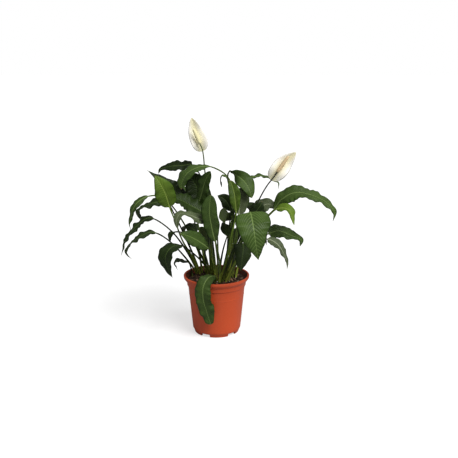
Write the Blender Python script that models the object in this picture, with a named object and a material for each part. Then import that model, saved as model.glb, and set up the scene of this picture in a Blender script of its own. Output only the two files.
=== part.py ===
"""A peace lily in a round growers' pot: the pot, its soil, every leaf and both flowers.

Units are metres, +Z is up, and the origin is the centre of the pot's underside.
Each leaf is one closed solid, from its foot in the soil to the tip of its blade,
because a leaf grows as one piece. A flower is three: stalk, spathe and spadix.
"""

import math

import bmesh
import bpy
import numpy as np

# The pot, from its rim down
POT_HEIGHT = 0.152
RIM_RADIUS = 0.0850
RIM_BAND = 0.0130
RIM_FLARE = 0.0045
LIP = 0.0010
COLLAR_RADIUS = 0.0770
COLLAR_DEPTH = 0.0270
COLLAR_TAPER = 0.0012
SHOULDER_RADIUS = 0.0735
STACKING_RING_DROP = 0.0240
STACKING_RING = 0.0005
FOOT_RADIUS = 0.0612
BASE_RADIUS = 0.0585
HEEL_HEIGHT = 0.0110
WALL = 0.0022
SKIRT = 0.0050
FLOOR_HEIGHT = 0.0095
FLOOR_THICKNESS = 0.0022
FLOOR_FILLET = 0.0030
NOTCH_HEIGHT = 0.0080
FOOT_COUNT = 5
NOTCH_ANGLE = math.radians(25)
FIRST_FOOT_ANGLE = math.radians(-83)
NOTCH_INSIDE = 0.0120
BOSS_RADIUS = 0.0150
DRAIN_RADIUS = 0.0050
DRAIN_RING = 0.0360
DRAIN_SIDES = 10
CUT_PAST = 0.0040
POT_STEPS = 60

# The soil
SOIL_TOP = 0.1400
SOIL_CROWN = 0.0015
SOIL_EDGE = 0.0015
SOIL_FLAT_RADIUS = 0.0700
SOIL_GAP = 0.0005
SOIL_STEPS = 40
ROOTED_DEPTH = 0.0100
SOCKET_GAP = 0.0003

# Every leaf
CURVE_STEPS = 12
RING_POINTS = 8
STALK_RINGS = 6
BLADE_RINGS = 9
ABOVE_SOIL = 0.0020
FOOT_STALK = 0.0027
TOP_STALK = 0.0016
BLADE_THICKNESS = 0.0012
RIB_THICKNESS = 0.0026
TIP_WIDTH = 0.0006
TIP_THICKNESS = 0.0008
RING_CROWDING = 1.15

# Both flowers
PEDUNCLE_FOOT = 0.0026
PEDUNCLE_TOP = 0.0016
PEDUNCLE_RINGS = 14
SPATHE_RINGS = 12
SPATHE_THICKNESS = 0.0012
SPATHE_FOOT = 0.0015
SPATHE_SWELL = 0.45
SPATHE_DRAW = 0.78
SPATHE_FOLD = 14
SPADIX_RADIUS = 0.0046
SPADIX_SIDES = 10

# The crease that stays sharp when a mesh is shaded smooth
CREASE = math.radians(40)

# Colours, as red, green and blue from 0 to 1
TERRACOTTA = (0.50, 0.075, 0.022)
PEAT = (0.030, 0.017, 0.010)
GREEN_DARK = (0.018, 0.050, 0.012)
GREEN_MID = (0.045, 0.110, 0.026)
GREEN_BRIGHT = (0.115, 0.240, 0.028)
GREEN_GREY = (0.085, 0.125, 0.062)
STALK_GREEN = (0.110, 0.170, 0.045)
CREAM = (0.800, 0.780, 0.640)
STRAW = (0.620, 0.480, 0.230)

# One row for a leaf: its name, half the width of its blade, how slowly it swells from its
# base, how far its tip draws out, how many degrees its halves fold up, its colour, the
# way its upper face looks at the blade's base and at its tip, the foot of its stalk on
# the soil with the points that the stalk passes, and the points of the midrib from the
# blade's base to its tip.
LEAVES = (
    ("leaf_left_bright", 0.026, 0.55, 0.85, 12, GREEN_BRIGHT,
     (0.1, -1.0, 0.2), (0.1, -1.0, 0.3),
     ((-0.044, 0.034), (-0.062, 0.008, 0.195), (-0.086, -0.012, 0.246),
      (-0.102, -0.032, 0.302)),
     ((-0.113, -0.045, 0.338), (-0.122, -0.060, 0.377), (-0.133, -0.068, 0.402),
      (-0.145, -0.066, 0.421))),
    ("leaf_left_behind", 0.024, 0.62, 1.35, 15, GREEN_DARK,
     (0.3, -0.8, 0.6), (0.0, -0.8, 0.6),
     ((-0.040, 0.043), (-0.050, 0.045, 0.230), (-0.060, 0.042, 0.295)),
     ((-0.069, 0.040, 0.324), (-0.107, 0.050, 0.360), (-0.145, 0.050, 0.392),
      (-0.178, 0.050, 0.416))),
    ("leaf_left_middle", 0.034, 0.55, 0.80, 12, GREEN_DARK,
     (0.0, -0.6, 1.0), (-0.5, -0.6, 1.0),
     ((-0.015, 0.034), (-0.020, 0.014, 0.230), (-0.024, 0.004, 0.290)),
     ((-0.033, -0.004, 0.315), (-0.065, -0.012, 0.337), (-0.092, -0.020, 0.353),
      (-0.116, -0.028, 0.358))),
    ("leaf_left_grey", 0.018, 0.60, 0.80, 10, GREEN_GREY,
     (0.0, -1.0, 0.5), (-0.5, -0.9, 0.3),
     ((0.001, -0.026), (0.004, -0.034, 0.195), (0.004, -0.038, 0.255),
      (0.000, -0.044, 0.300)),
     ((-0.018, -0.042, 0.303), (-0.042, -0.056, 0.313), (-0.066, -0.080, 0.328),
      (-0.084, -0.100, 0.334), (-0.091, -0.112, 0.322), (-0.089, -0.118, 0.302))),
    ("leaf_left_arching", 0.015, 0.62, 1.10, 10, GREEN_DARK,
     (0.0, -0.8, 0.9), (-1.0, -0.7, 0.3),
     ((-0.051, 0.040), (-0.075, 0.015, 0.205), (-0.114, -0.015, 0.272)),
     ((-0.155, -0.015, 0.302), (-0.172, -0.018, 0.305), (-0.191, -0.022, 0.293),
      (-0.210, -0.030, 0.275), (-0.226, -0.040, 0.252), (-0.236, -0.050, 0.217))),
    ("leaf_left_low_arching", 0.015, 0.75, 1.30, 10, GREEN_DARK,
     (0.0, -0.6, 1.0), (-1.0, -0.7, 0.3),
     ((-0.053, 0.030), (-0.082, -0.015, 0.205), (-0.118, -0.060, 0.260)),
     ((-0.143, -0.080, 0.282), (-0.158, -0.086, 0.286), (-0.174, -0.092, 0.281),
      (-0.193, -0.100, 0.270), (-0.207, -0.110, 0.258), (-0.213, -0.120, 0.244),
      (-0.200, -0.120, 0.229))),
    ("leaf_far_left", 0.013, 0.90, 1.50, 8, GREEN_MID,
     (0.0, -0.9, 0.6), (-0.8, -0.9, 0.2),
     ((-0.039, 0.052), (-0.048, 0.062, 0.190), (-0.075, 0.064, 0.250),
      (-0.120, 0.056, 0.325), (-0.150, 0.052, 0.348)),
     ((-0.175, 0.050, 0.348), (-0.190, 0.046, 0.343), (-0.206, 0.042, 0.331),
      (-0.217, 0.040, 0.313), (-0.222, 0.040, 0.295), (-0.227, 0.040, 0.276),
      (-0.224, 0.040, 0.259))),
    ("leaf_left_curled", 0.017, 0.70, 0.90, 8, GREEN_DARK,
     (0.1, -1.0, 0.5), (-0.8, -0.9, 0.2),
     ((-0.047, 0.049), (-0.062, 0.044, 0.190), (-0.085, 0.034, 0.250),
      (-0.105, 0.022, 0.300)),
     ((-0.129, 0.024, 0.340), (-0.149, 0.020, 0.339), (-0.169, 0.018, 0.334),
      (-0.190, 0.018, 0.325), (-0.199, 0.018, 0.314), (-0.198, 0.018, 0.302),
      (-0.190, 0.018, 0.290))),
    ("leaf_left_small", 0.009, 0.62, 1.00, 5, GREEN_DARK,
     (0.0, -0.4, 1.0), (-1.0, -0.6, 0.2),
     ((-0.024, 0.026), (-0.045, 0.000, 0.215), (-0.078, -0.022, 0.265)),
     ((-0.101, -0.060, 0.280), (-0.109, -0.066, 0.279), (-0.113, -0.070, 0.270),
      (-0.111, -0.070, 0.255))),
    ("leaf_left_drooping", 0.026, 0.62, 1.00, 14, GREEN_DARK,
     (-0.1, -0.4, 1.0), (-0.7, -0.8, 0.1),
     ((-0.014, 0.022), (-0.038, -0.010, 0.190), (-0.065, -0.045, 0.228)),
     ((-0.084, -0.075, 0.250), (-0.107, -0.105, 0.252), (-0.119, -0.120, 0.234),
      (-0.113, -0.125, 0.205), (-0.103, -0.125, 0.184))),
    ("leaf_left_rim", 0.010, 0.62, 1.00, 5, GREEN_DARK,
     (0.0, -0.3, 1.0), (-1.0, -0.4, 0.2),
     ((-0.064, 0.023), (-0.068, 0.034, 0.158)),
     ((-0.074, 0.026, 0.176), (-0.088, 0.026, 0.180), (-0.104, 0.028, 0.181),
      (-0.110, 0.028, 0.172), (-0.103, 0.028, 0.154))),
    ("leaf_top_arching", 0.024, 1.00, 0.75, 12, GREEN_MID,
     (0.0, -0.5, 1.0), (-0.6, -0.9, 0.3),
     ((0.036, 0.030), (0.042, 0.038, 0.250), (0.051, 0.045, 0.323), (0.045, 0.045, 0.365),
      (0.025, 0.045, 0.404)),
     ((-0.013, 0.040, 0.426), (-0.031, 0.034, 0.428), (-0.051, 0.026, 0.425),
      (-0.072, 0.014, 0.414), (-0.084, 0.006, 0.396), (-0.087, 0.000, 0.375))),
    ("leaf_top_left", 0.017, 0.50, 1.00, 12, GREEN_DARK,
     (0.1, -0.9, 0.7), (-0.4, -0.9, 0.6),
     ((-0.013, 0.045), (-0.020, 0.064, 0.270), (-0.036, 0.078, 0.380)),
     ((-0.063, 0.080, 0.425), (-0.088, 0.086, 0.423), (-0.113, 0.090, 0.421),
      (-0.135, 0.098, 0.416), (-0.149, 0.100, 0.410), (-0.155, 0.100, 0.398))),
    ("leaf_top_hanging", 0.008, 0.62, 1.00, 5, GREEN_MID,
     (0.0, -0.4, 1.0), (-0.8, -0.6, 0.2),
     ((0.030, 0.042), (0.040, 0.070, 0.300), (0.034, 0.072, 0.375)),
     ((0.025, 0.070, 0.395), (0.014, 0.070, 0.399), (0.010, 0.070, 0.387),
      (0.014, 0.070, 0.367))),
    ("leaf_centre_upright", 0.019, 0.70, 0.70, 14, GREEN_MID,
     (-0.7, -0.7, 0.1), (-0.3, -1.0, 0.1),
     ((-0.007, 0.031), (-0.020, 0.025, 0.230), (-0.033, 0.022, 0.295)),
     ((-0.044, 0.023, 0.325), (-0.036, 0.015, 0.365), (-0.027, 0.009, 0.395),
      (-0.014, 0.001, 0.421))),
    ("leaf_centre_behind", 0.034, 0.50, 0.70, 12, GREEN_DARK,
     (0.2, -0.8, 0.5), (-0.2, -0.9, 0.4),
     ((-0.003, 0.040), (-0.012, 0.042, 0.240), (-0.020, 0.048, 0.300)),
     ((-0.034, 0.050, 0.317), (-0.044, 0.052, 0.353), (-0.059, 0.050, 0.386),
      (-0.075, 0.046, 0.409))),
    ("leaf_front_upright", 0.021, 0.60, 0.50, 12, GREEN_MID,
     (0.1, -1.0, 0.1), (0.1, -1.0, 0.2),
     ((0.008, -0.034), (0.010, -0.036, 0.185), (0.005, -0.045, 0.225)),
     ((-0.001, -0.052, 0.252), (-0.009, -0.058, 0.287), (-0.015, -0.064, 0.331),
      (-0.012, -0.064, 0.373))),
    ("leaf_front_left", 0.021, 0.70, 0.75, 12, GREEN_MID,
     (-0.2, -0.8, 0.7), (-0.4, -0.8, 0.7),
     ((-0.005, 0.022), (-0.010, 0.008, 0.171), (-0.016, -0.012, 0.204)),
     ((-0.019, -0.042, 0.233), (-0.039, -0.062, 0.255), (-0.060, -0.082, 0.273),
      (-0.085, -0.096, 0.285))),
    ("leaf_over_rim", 0.021, 0.45, 0.42, 10, GREEN_MID,
     (0.2, -0.3, 1.0), (0.0, -1.0, 0.1),
     ((-0.004, -0.035), (-0.001, -0.044, 0.156)),
     ((-0.004, -0.060, 0.166), (-0.018, -0.084, 0.170), (-0.030, -0.096, 0.152),
      (-0.031, -0.094, 0.118), (-0.022, -0.088, 0.080), (-0.013, -0.082, 0.046))),
    ("leaf_right_arching", 0.025, 0.65, 1.05, 10, GREEN_MID,
     (-0.3, -1.0, 0.4), (0.6, -0.9, 0.2),
     ((0.051, 0.015), (0.062, 0.010, 0.190), (0.116, 0.005, 0.290)),
     ((0.145, 0.000, 0.322), (0.165, -0.010, 0.352), (0.198, -0.020, 0.371),
      (0.237, -0.030, 0.366), (0.272, -0.030, 0.349), (0.295, -0.030, 0.322),
      (0.291, -0.030, 0.299))),
    ("leaf_right_young", 0.019, 0.70, 0.90, 16, GREEN_BRIGHT,
     (0.0, -0.7, 0.8), (1.0, -0.6, 0.2),
     ((0.050, 0.005), (0.062, 0.005, 0.195), (0.105, -0.008, 0.270), (0.135, -0.020, 0.315)),
     ((0.149, -0.030, 0.330), (0.165, -0.040, 0.336), (0.181, -0.055, 0.332),
      (0.191, -0.070, 0.299))),
    ("leaf_right_sheen", 0.025, 0.50, 0.95, 14, GREEN_MID,
     (-0.2, -0.8, 0.8), (0.7, -0.7, 0.6),
     ((0.029, -0.016), (0.050, -0.012, 0.188), (0.101, -0.010, 0.246)),
     ((0.131, -0.010, 0.262), (0.159, -0.010, 0.270), (0.189, -0.010, 0.259),
      (0.216, -0.010, 0.246), (0.213, -0.010, 0.229))),
    ("leaf_right_pale", 0.017, 0.50, 1.10, 14, GREEN_GREY,
     (0.1, -0.6, 1.0), (1.0, -0.6, 0.2),
     ((0.031, -0.025), (0.055, -0.032, 0.194), (0.099, -0.050, 0.244)),
     ((0.126, -0.060, 0.262), (0.147, -0.070, 0.255), (0.163, -0.080, 0.237),
      (0.175, -0.080, 0.207), (0.175, -0.080, 0.190))),
    ("leaf_front_broad", 0.042, 0.30, 1.05, 8, GREEN_MID,
     (0.0, -0.5, 1.0), (0.1, -1.0, 0.2),
     ((0.024, -0.031), (0.048, -0.040, 0.199), (0.070, -0.062, 0.276),
      (0.076, -0.088, 0.322)),
     ((0.082, -0.112, 0.341), (0.086, -0.136, 0.330), (0.090, -0.156, 0.307),
      (0.095, -0.160, 0.272), (0.101, -0.150, 0.235))),
    ("leaf_top_right", 0.021, 0.60, 0.70, 12, GREEN_MID,
     (0.2, -0.8, 0.5), (0.3, -1.0, 0.2),
     ((0.035, 0.019), (0.035, 0.010, 0.267), (0.046, 0.012, 0.332), (0.029, 0.008, 0.400)),
     ((0.033, 0.002, 0.420), (0.050, -0.009, 0.413), (0.068, -0.020, 0.401),
      (0.082, -0.028, 0.381), (0.089, -0.030, 0.359))),
    ("leaf_right_veined", 0.024, 0.50, 0.55, 10, GREEN_GREY,
     (0.2, -1.0, 0.0), (0.2, -1.0, 0.2),
     ((0.019, -0.022), (0.035, -0.028, 0.200), (0.048, -0.027, 0.262)),
     ((0.057, -0.019, 0.315), (0.059, -0.018, 0.341), (0.061, -0.016, 0.364),
      (0.065, -0.013, 0.381))),
    ("leaf_right_narrow", 0.015, 0.70, 0.55, 16, GREEN_BRIGHT,
     (-0.2, -1.0, 0.1), (-0.3, -1.0, 0.2),
     ((0.010, -0.022), (0.026, -0.032, 0.200), (0.037, -0.044, 0.262)),
     ((0.050, -0.048, 0.326), (0.048, -0.052, 0.356), (0.044, -0.050, 0.381),
      (0.036, -0.044, 0.405))),
    ("leaf_right_behind", 0.021, 0.62, 1.00, 12, GREEN_GREY,
     (0.0, -1.0, 0.6), (0.5, -0.9, 0.5),
     ((0.042, 0.012), (0.062, 0.022, 0.230), (0.088, 0.022, 0.295)),
     ((0.099, 0.020, 0.310), (0.117, 0.020, 0.328), (0.136, 0.020, 0.333),
      (0.153, 0.020, 0.320))),
    ("leaf_right_round", 0.017, 0.62, 0.80, 10, GREEN_DARK,
     (0.2, -1.0, 0.3), (0.2, -1.0, 0.3),
     ((0.021, -0.012), (0.045, -0.025, 0.220), (0.072, -0.040, 0.275)),
     ((0.089, -0.050, 0.308), (0.099, -0.058, 0.331), (0.108, -0.061, 0.346),
      (0.113, -0.058, 0.356))),
    ("leaf_back_wavy", 0.011, 1.00, 1.10, 10, GREEN_MID,
     (0.1, -0.5, 1.0), (0.8, -0.6, 0.3),
     ((0.044, 0.023), (0.056, 0.050, 0.280), (0.062, 0.066, 0.350)),
     ((0.069, 0.070, 0.392), (0.093, 0.080, 0.393), (0.119, 0.090, 0.395),
      (0.138, 0.090, 0.390), (0.154, 0.090, 0.381), (0.163, 0.090, 0.375),
      (0.164, 0.090, 0.359))),
    ("leaf_right_hanging", 0.024, 0.35, 0.90, 12, GREEN_DARK,
     (0.2, -0.6, 1.0), (0.2, -1.0, 0.0),
     ((0.016, -0.034), (0.032, -0.042, 0.197), (0.044, -0.052, 0.235)),
     ((0.066, -0.066, 0.252), (0.067, -0.080, 0.243), (0.065, -0.090, 0.225),
      (0.061, -0.096, 0.191))),
    ("leaf_centre_pointed", 0.017, 0.62, 0.90, 14, GREEN_DARK,
     (-0.3, -0.8, 0.6), (-0.5, -0.8, 0.4),
     ((0.027, 0.022), (0.030, 0.028, 0.240), (0.035, 0.028, 0.290)),
     ((0.037, 0.026, 0.312), (0.031, 0.024, 0.331), (0.020, 0.024, 0.346),
      (0.003, 0.022, 0.355))),
    ("leaf_centre_drooping", 0.023, 0.60, 0.80, 12, GREEN_DARK,
     (-0.2, -0.7, 1.0), (-0.6, -1.0, 0.0),
     ((0.012, -0.013), (0.030, -0.020, 0.230), (0.042, -0.024, 0.295)),
     ((0.045, -0.026, 0.316), (0.031, -0.030, 0.320), (0.022, -0.035, 0.300),
      (0.029, -0.038, 0.262))),
    ("leaf_centre_low", 0.018, 0.60, 0.80, 12, GREEN_DARK,
     (-0.2, -0.8, 0.8), (-0.4, -0.8, 0.6),
     ((-0.028, 0.040), (-0.030, 0.030, 0.200), (-0.032, 0.022, 0.240)),
     ((-0.041, 0.016, 0.239), (-0.052, 0.010, 0.262), (-0.067, 0.004, 0.276),
      (-0.081, 0.000, 0.280))),
    ("leaf_back_left_high", 0.024, 0.62, 1.10, 12, GREEN_MID,
     (-0.2, 0.5, 1.0), (-0.5, 0.9, 0.3),
     ((-0.030, 0.053), (-0.045, 0.085, 0.230), (-0.060, 0.120, 0.300)),
     ((-0.070, 0.140, 0.330), (-0.085, 0.175, 0.350), (-0.100, 0.205, 0.335),
      (-0.110, 0.230, 0.290))),
    ("leaf_back_middle", 0.024, 0.62, 0.90, 12, GREEN_MID,
     (0.0, 0.5, 1.0), (0.0, 1.0, 0.3),
     ((-0.006, 0.050), (-0.012, 0.078, 0.195), (-0.019, 0.104, 0.230)),
     ((-0.023, 0.118, 0.242), (-0.027, 0.142, 0.240), (-0.031, 0.162, 0.212),
      (-0.032, 0.170, 0.165))),
    ("leaf_back_right_high", 0.025, 0.62, 1.10, 12, GREEN_DARK,
     (0.2, 0.5, 1.0), (0.5, 0.9, 0.3),
     ((0.038, 0.044), (0.050, 0.080, 0.225), (0.062, 0.110, 0.275)),
     ((0.067, 0.130, 0.296), (0.080, 0.165, 0.308), (0.095, 0.195, 0.290),
      (0.105, 0.215, 0.250))),
    ("leaf_back_right_low", 0.022, 0.62, 1.10, 12, GREEN_MID,
     (0.4, 0.4, 1.0), (0.9, 0.6, 0.2),
     ((0.053, 0.033), (0.062, 0.052, 0.185), (0.078, 0.078, 0.218)),
     ((0.086, 0.090, 0.230), (0.106, 0.118, 0.240), (0.126, 0.142, 0.224),
      (0.138, 0.158, 0.186))),
    ("leaf_back_left_low", 0.019, 0.62, 1.10, 12, GREEN_DARK,
     (-0.4, 0.5, 1.0), (-0.9, 0.7, 0.2),
     ((-0.021, 0.061), (-0.035, 0.085, 0.190), (-0.050, 0.105, 0.225)),
     ((-0.056, 0.115, 0.236), (-0.074, 0.140, 0.248), (-0.090, 0.165, 0.238),
      (-0.098, 0.185, 0.208))),
    ("leaf_back_low", 0.021, 0.62, 1.10, 12, GREEN_DARK,
     (0.0, 0.5, 1.0), (0.1, 1.0, 0.2),
     ((0.008, 0.058), (0.016, 0.090, 0.190), (0.028, 0.125, 0.222)),
     ((0.034, 0.140, 0.230), (0.042, 0.170, 0.230), (0.048, 0.195, 0.205),
      (0.050, 0.208, 0.165))),
)

# One row for a flower: its name, the foot of its stalk and the points that the stalk
# passes, the spathe's midrib from base to tip, half its width, the way it opens, and
# the two ends of the spadix.
FLOWERS = (
    ("flower_left",
     ((0.006, 0.037), (-0.008, 0.062, 0.259), (-0.022, 0.070, 0.351), (-0.030, 0.060, 0.411),
      (-0.033, 0.050, 0.454), (-0.037, 0.048, 0.474),
      (-0.041, 0.047, 0.482)),
     ((-0.037, 0.058, 0.463), (-0.042, 0.054, 0.485),
      (-0.053, 0.058, 0.515), (-0.062, 0.050, 0.549)), 0.0225, (0.1, -1.0, 0.1),
     ((-0.041, 0.046, 0.484), (-0.058, 0.042, 0.523))),
    ("flower_right",
     ((0.034, -0.004), (0.060, -0.002, 0.244),
      (0.107, -0.004, 0.348), (0.127, -0.006, 0.385),
      (0.141, -0.007, 0.404), (0.151, -0.007, 0.418)),
     ((0.138, 0.002, 0.399), (0.152, -0.003, 0.419),
      (0.174, 0.003, 0.445), (0.198, -0.001, 0.468)), 0.0235, (0.1, -1.0, 0.1),
     ((0.152, -0.008, 0.420), (0.179, -0.012, 0.460))),
)


def material(name, colour, roughness):
    """A plain material of one colour."""
    made = bpy.data.materials.new(name)
    made.use_nodes = True
    shader = made.node_tree.nodes["Principled BSDF"]
    shader.inputs["Base Color"].default_value = (*colour, 1.0)
    shader.inputs["Roughness"].default_value = roughness
    shader.inputs["Metallic"].default_value = 0.0
    made.diffuse_color = (*colour, 1.0)
    return made


def add_object(name, points, faces, finish):
    """A named mesh object, smooth-shaded, with all its faces turned outwards."""
    mesh = bpy.data.meshes.new(name)
    mesh.from_pydata([tuple(map(float, point)) for point in points], [], faces)
    shape = bmesh.new()
    shape.from_mesh(mesh)
    bmesh.ops.recalc_face_normals(shape, faces=shape.faces)
    shape.to_mesh(mesh)
    shape.free()
    mesh.shade_smooth()
    mesh.set_sharp_from_angle(angle=CREASE)
    mesh.materials.append(finish)
    made = bpy.data.objects.new(name, mesh)
    bpy.context.scene.collection.objects.link(made)
    return made


def lofted(rings):
    """Faces that join equal rings of points in a row, with a cap at each end. The two
    halves of a ring are split along matching diagonals, so a thin sheet that twists
    keeps its upper and lower skins apart."""
    count = len(rings[0])
    points = [point for ring in rings for point in ring]
    faces = []
    for row in range(len(rings) - 1):
        for i in range(count):
            here = row * count + i
            beside = row * count + (i + 1) % count
            if 2 * i < count:
                faces.append((here, beside, beside + count))
                faces.append((here, beside + count, here + count))
            else:
                faces.append((here, beside, here + count))
                faces.append((beside, beside + count, here + count))
    faces.append(tuple(range(count))[::-1])
    last = (len(rings) - 1) * count
    faces.append(tuple(range(last, last + count)))
    return points, faces


def joined(blocks):
    """Several (points, faces) pairs as one."""
    points, faces = [], []
    for more, sides in blocks:
        faces += [tuple(k + len(points) for k in side) for side in sides]
        points += more
    return points, faces


def post(x, y, radius, low, high, sides):
    """An upright round block."""
    angles = np.linspace(0, 2 * math.pi, sides, endpoint=False)
    return lofted([[(x + radius * math.cos(a), y + radius * math.sin(a), z)
                    for a in angles] for z in (low, high)])


def turned(profile, steps):
    """A closed profile of (radius, height) turned about Z: the first and last points
    lie on the axis, and each becomes one point there."""
    points = [(0.0, 0.0, profile[0][1]), (0.0, 0.0, profile[-1][1])]
    middle = profile[1:-1]
    faces = []
    for radius, height in middle:
        for i in range(steps):
            angle = 2 * math.pi * i / steps
            points.append((radius * math.cos(angle), radius * math.sin(angle), height))
    for i in range(steps):
        j = (i + 1) % steps
        faces.append((0, 2 + i, 2 + j))
        for row in range(len(middle) - 1):
            low = 2 + row * steps
            high = low + steps
            faces.append((low + i, high + i, high + j, low + j))
        last = 2 + (len(middle) - 1) * steps
        faces.append((last + i, 1, last + j))
    return points, faces


def cut_by(target, cutter):
    """Takes the cutter's shape out of the target."""
    cutter.hide_render = True
    cutter.display_type = "WIRE"
    cut = target.modifiers.new("cut_" + cutter.name, "BOOLEAN")
    cut.operation = "DIFFERENCE"
    cut.solver = "EXACT"
    cut.use_self = True
    cut.object = cutter


def wall_radius(height):
    """The outer radius of the tapered wall at a height."""
    top = POT_HEIGHT - COLLAR_DEPTH
    share = height / top
    return FOOT_RADIUS + (SHOULDER_RADIUS - FOOT_RADIUS) * share


def outside_profile():
    """The pot's section down the outside, from the rim to the standing edge."""
    top = POT_HEIGHT
    collar_low = top - COLLAR_DEPTH
    ring = collar_low - STACKING_RING_DROP
    return [
        (RIM_RADIUS - LIP, top),
        (RIM_RADIUS, top - LIP),
        (RIM_RADIUS - LIP / 2, top - RIM_BAND / 2),
        (RIM_RADIUS - RIM_FLARE, top - RIM_BAND + LIP),
        (COLLAR_RADIUS, top - RIM_BAND - LIP),
        (COLLAR_RADIUS - COLLAR_TAPER, collar_low + COLLAR_TAPER),
        (SHOULDER_RADIUS, collar_low),
        (wall_radius(ring) + STACKING_RING, ring),
        (wall_radius(ring), ring - LIP),
        (wall_radius(HEEL_HEIGHT), HEEL_HEIGHT),
        (BASE_RADIUS, HEEL_HEIGHT / 3),
        (BASE_RADIUS - LIP / 2, 0.0),
    ]


def under_profile():
    """The section under the pot: the feet's inner side, the floor and the boss."""
    return [
        (BASE_RADIUS - SKIRT, 0.0),
        (BASE_RADIUS - SKIRT - LIP, FLOOR_HEIGHT),
        (BOSS_RADIUS + LIP, FLOOR_HEIGHT),
        (BOSS_RADIUS, 0.0),
    ]


def inside_profile():
    """The section up the inside, from the floor to the rim."""
    top = POT_HEIGHT
    collar_low = top - COLLAR_DEPTH
    floor = FLOOR_HEIGHT + FLOOR_THICKNESS
    return [
        (wall_radius(floor) - WALL - FLOOR_FILLET / 2, floor),
        (wall_radius(floor) - WALL, floor + FLOOR_FILLET),
        (SHOULDER_RADIUS - WALL, collar_low),
        (COLLAR_RADIUS - WALL - LIP, collar_low + FLOOR_FILLET),
        (COLLAR_RADIUS - WALL, top - RIM_BAND),
        (RIM_RADIUS - WALL - FLOOR_FILLET, top - FLOOR_FILLET),
        (RIM_RADIUS - 2 * WALL, top),
    ]


def pot():
    """A thin turned shell with five feet and a flat boss under its floor."""
    floor = FLOOR_HEIGHT + FLOOR_THICKNESS
    profile = [(0.0, 0.0)] + under_profile()[::-1] + outside_profile()[::-1]
    profile += inside_profile()[::-1] + [(0.0, floor)]
    points, faces = turned(profile, POT_STEPS)
    made = add_object("pot", points, faces, material("terracotta_plastic", TERRACOTTA, 0.45))
    cut_by(made, foot_notches())
    cut_by(made, drain_holes())
    return made


def wedge(radius_in, radius_out, low, high, centre, spread):
    """Points and faces of a block that spans an angle between two radii."""
    rings = []
    for angle in (centre - spread / 2, centre, centre + spread / 2):
        c, s = math.cos(angle), math.sin(angle)
        rings.append([(r * c, r * s, z) for r, z in (
            (radius_in, low), (radius_out, low), (radius_out, high), (radius_in, high))])
    return lofted(rings)


def foot_angle(place):
    """The angle of a foot round the pot: a half place is a gap between two feet."""
    return FIRST_FOOT_ANGLE + place * 2 * math.pi / FOOT_COUNT


def foot_notches():
    """The gaps between the feet, as one cutter."""
    blocks = [wedge(BASE_RADIUS - NOTCH_INSIDE, BASE_RADIUS + NOTCH_INSIDE, -CUT_PAST,
                    NOTCH_HEIGHT, foot_angle(i + 0.5), NOTCH_ANGLE)
              for i in range(FOOT_COUNT)]
    return add_object("foot_notches", *joined(blocks), material("cutter", TERRACOTTA, 0.5))


def drain_holes():
    """Round holes through the floor, between the boss and the feet."""
    low = FLOOR_HEIGHT - CUT_PAST
    high = FLOOR_HEIGHT + FLOOR_THICKNESS + CUT_PAST
    blocks = [post(DRAIN_RING * math.cos(foot_angle(i)), DRAIN_RING * math.sin(foot_angle(i)),
                   DRAIN_RADIUS, low, high, DRAIN_SIDES) for i in range(FOOT_COUNT)]
    return add_object("drain_holes", *joined(blocks), material("cutter", TERRACOTTA, 0.5))


def soil(feet):
    """The root ball: it fills the pot up to its top, just clear of the wall, with a
    socket for the foot of each stalk."""
    wall = [(radius - SOIL_GAP, height) for radius, height in inside_profile()[:4]]
    bottom = wall[0][1] + SOIL_GAP
    wall[0] = (wall[0][0], bottom)
    edge = (COLLAR_RADIUS - WALL - 2 * SOIL_GAP, SOIL_TOP - SOIL_EDGE)
    crown = [(SOIL_FLAT_RADIUS, SOIL_TOP), (0.0, SOIL_TOP + SOIL_CROWN)]
    points, faces = turned([(0.0, bottom)] + wall + [edge] + crown, SOIL_STEPS)
    made = add_object("potting_soil", points, faces, material("peat", PEAT, 0.95))
    cut_by(made, sockets(feet))
    return made


def sockets(feet):
    """Upright round holes for the stalks, as one cutter."""
    low = SOIL_TOP - ROOTED_DEPTH - SOCKET_GAP
    high = SOIL_TOP + ROOTED_DEPTH
    blocks = [post(x, y, radius, low, high, RING_POINTS) for (x, y), radius in feet]
    return add_object("stalk_sockets", *joined(blocks), material("cutter", PEAT, 0.5))


def unit(vectors):
    """Each vector at length one."""
    vectors = np.asarray(vectors, float)
    return vectors / np.linalg.norm(vectors, axis=-1, keepdims=True)


def smooth_path(knots):
    """A centripetal Catmull-Rom curve: CURVE_STEPS points from each knot to the next."""
    knots = np.asarray(knots, float)
    ends = np.vstack([2 * knots[0] - knots[1], knots, 2 * knots[-1] - knots[-2]])
    gaps = np.linalg.norm(np.diff(ends, axis=0), axis=1) ** 0.5
    times = np.concatenate([[0.0], np.cumsum(gaps)])
    curve = []
    for i in range(1, len(ends) - 2):
        t0, t1, t2, t3 = times[i - 1:i + 3]
        p0, p1, p2, p3 = ends[i - 1:i + 3]
        t = np.linspace(t1, t2, CURVE_STEPS, endpoint=False)[:, None]
        a1 = ((t1 - t) * p0 + (t - t0) * p1) / (t1 - t0)
        a2 = ((t2 - t) * p1 + (t - t1) * p2) / (t2 - t1)
        a3 = ((t3 - t) * p2 + (t - t2) * p3) / (t3 - t2)
        b1 = ((t2 - t) * a1 + (t - t0) * a2) / (t2 - t0)
        b2 = ((t3 - t) * a2 + (t - t1) * a3) / (t3 - t1)
        curve.append(((t2 - t) * b1 + (t - t1) * b2) / (t2 - t1))
    return np.vstack(curve + [knots[-1:]])


def walked(curve, first, last, shares):
    """Points on the curve between two of its own points, at shares of that length."""
    piece = curve[first:last + 1]
    steps = np.linalg.norm(np.diff(piece, axis=0), axis=1)
    along = np.concatenate([[0.0], np.cumsum(steps)])
    at = np.asarray(shares) * along[-1]
    return np.stack([np.interp(at, along, piece[:, k]) for k in range(3)], axis=1)


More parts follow.
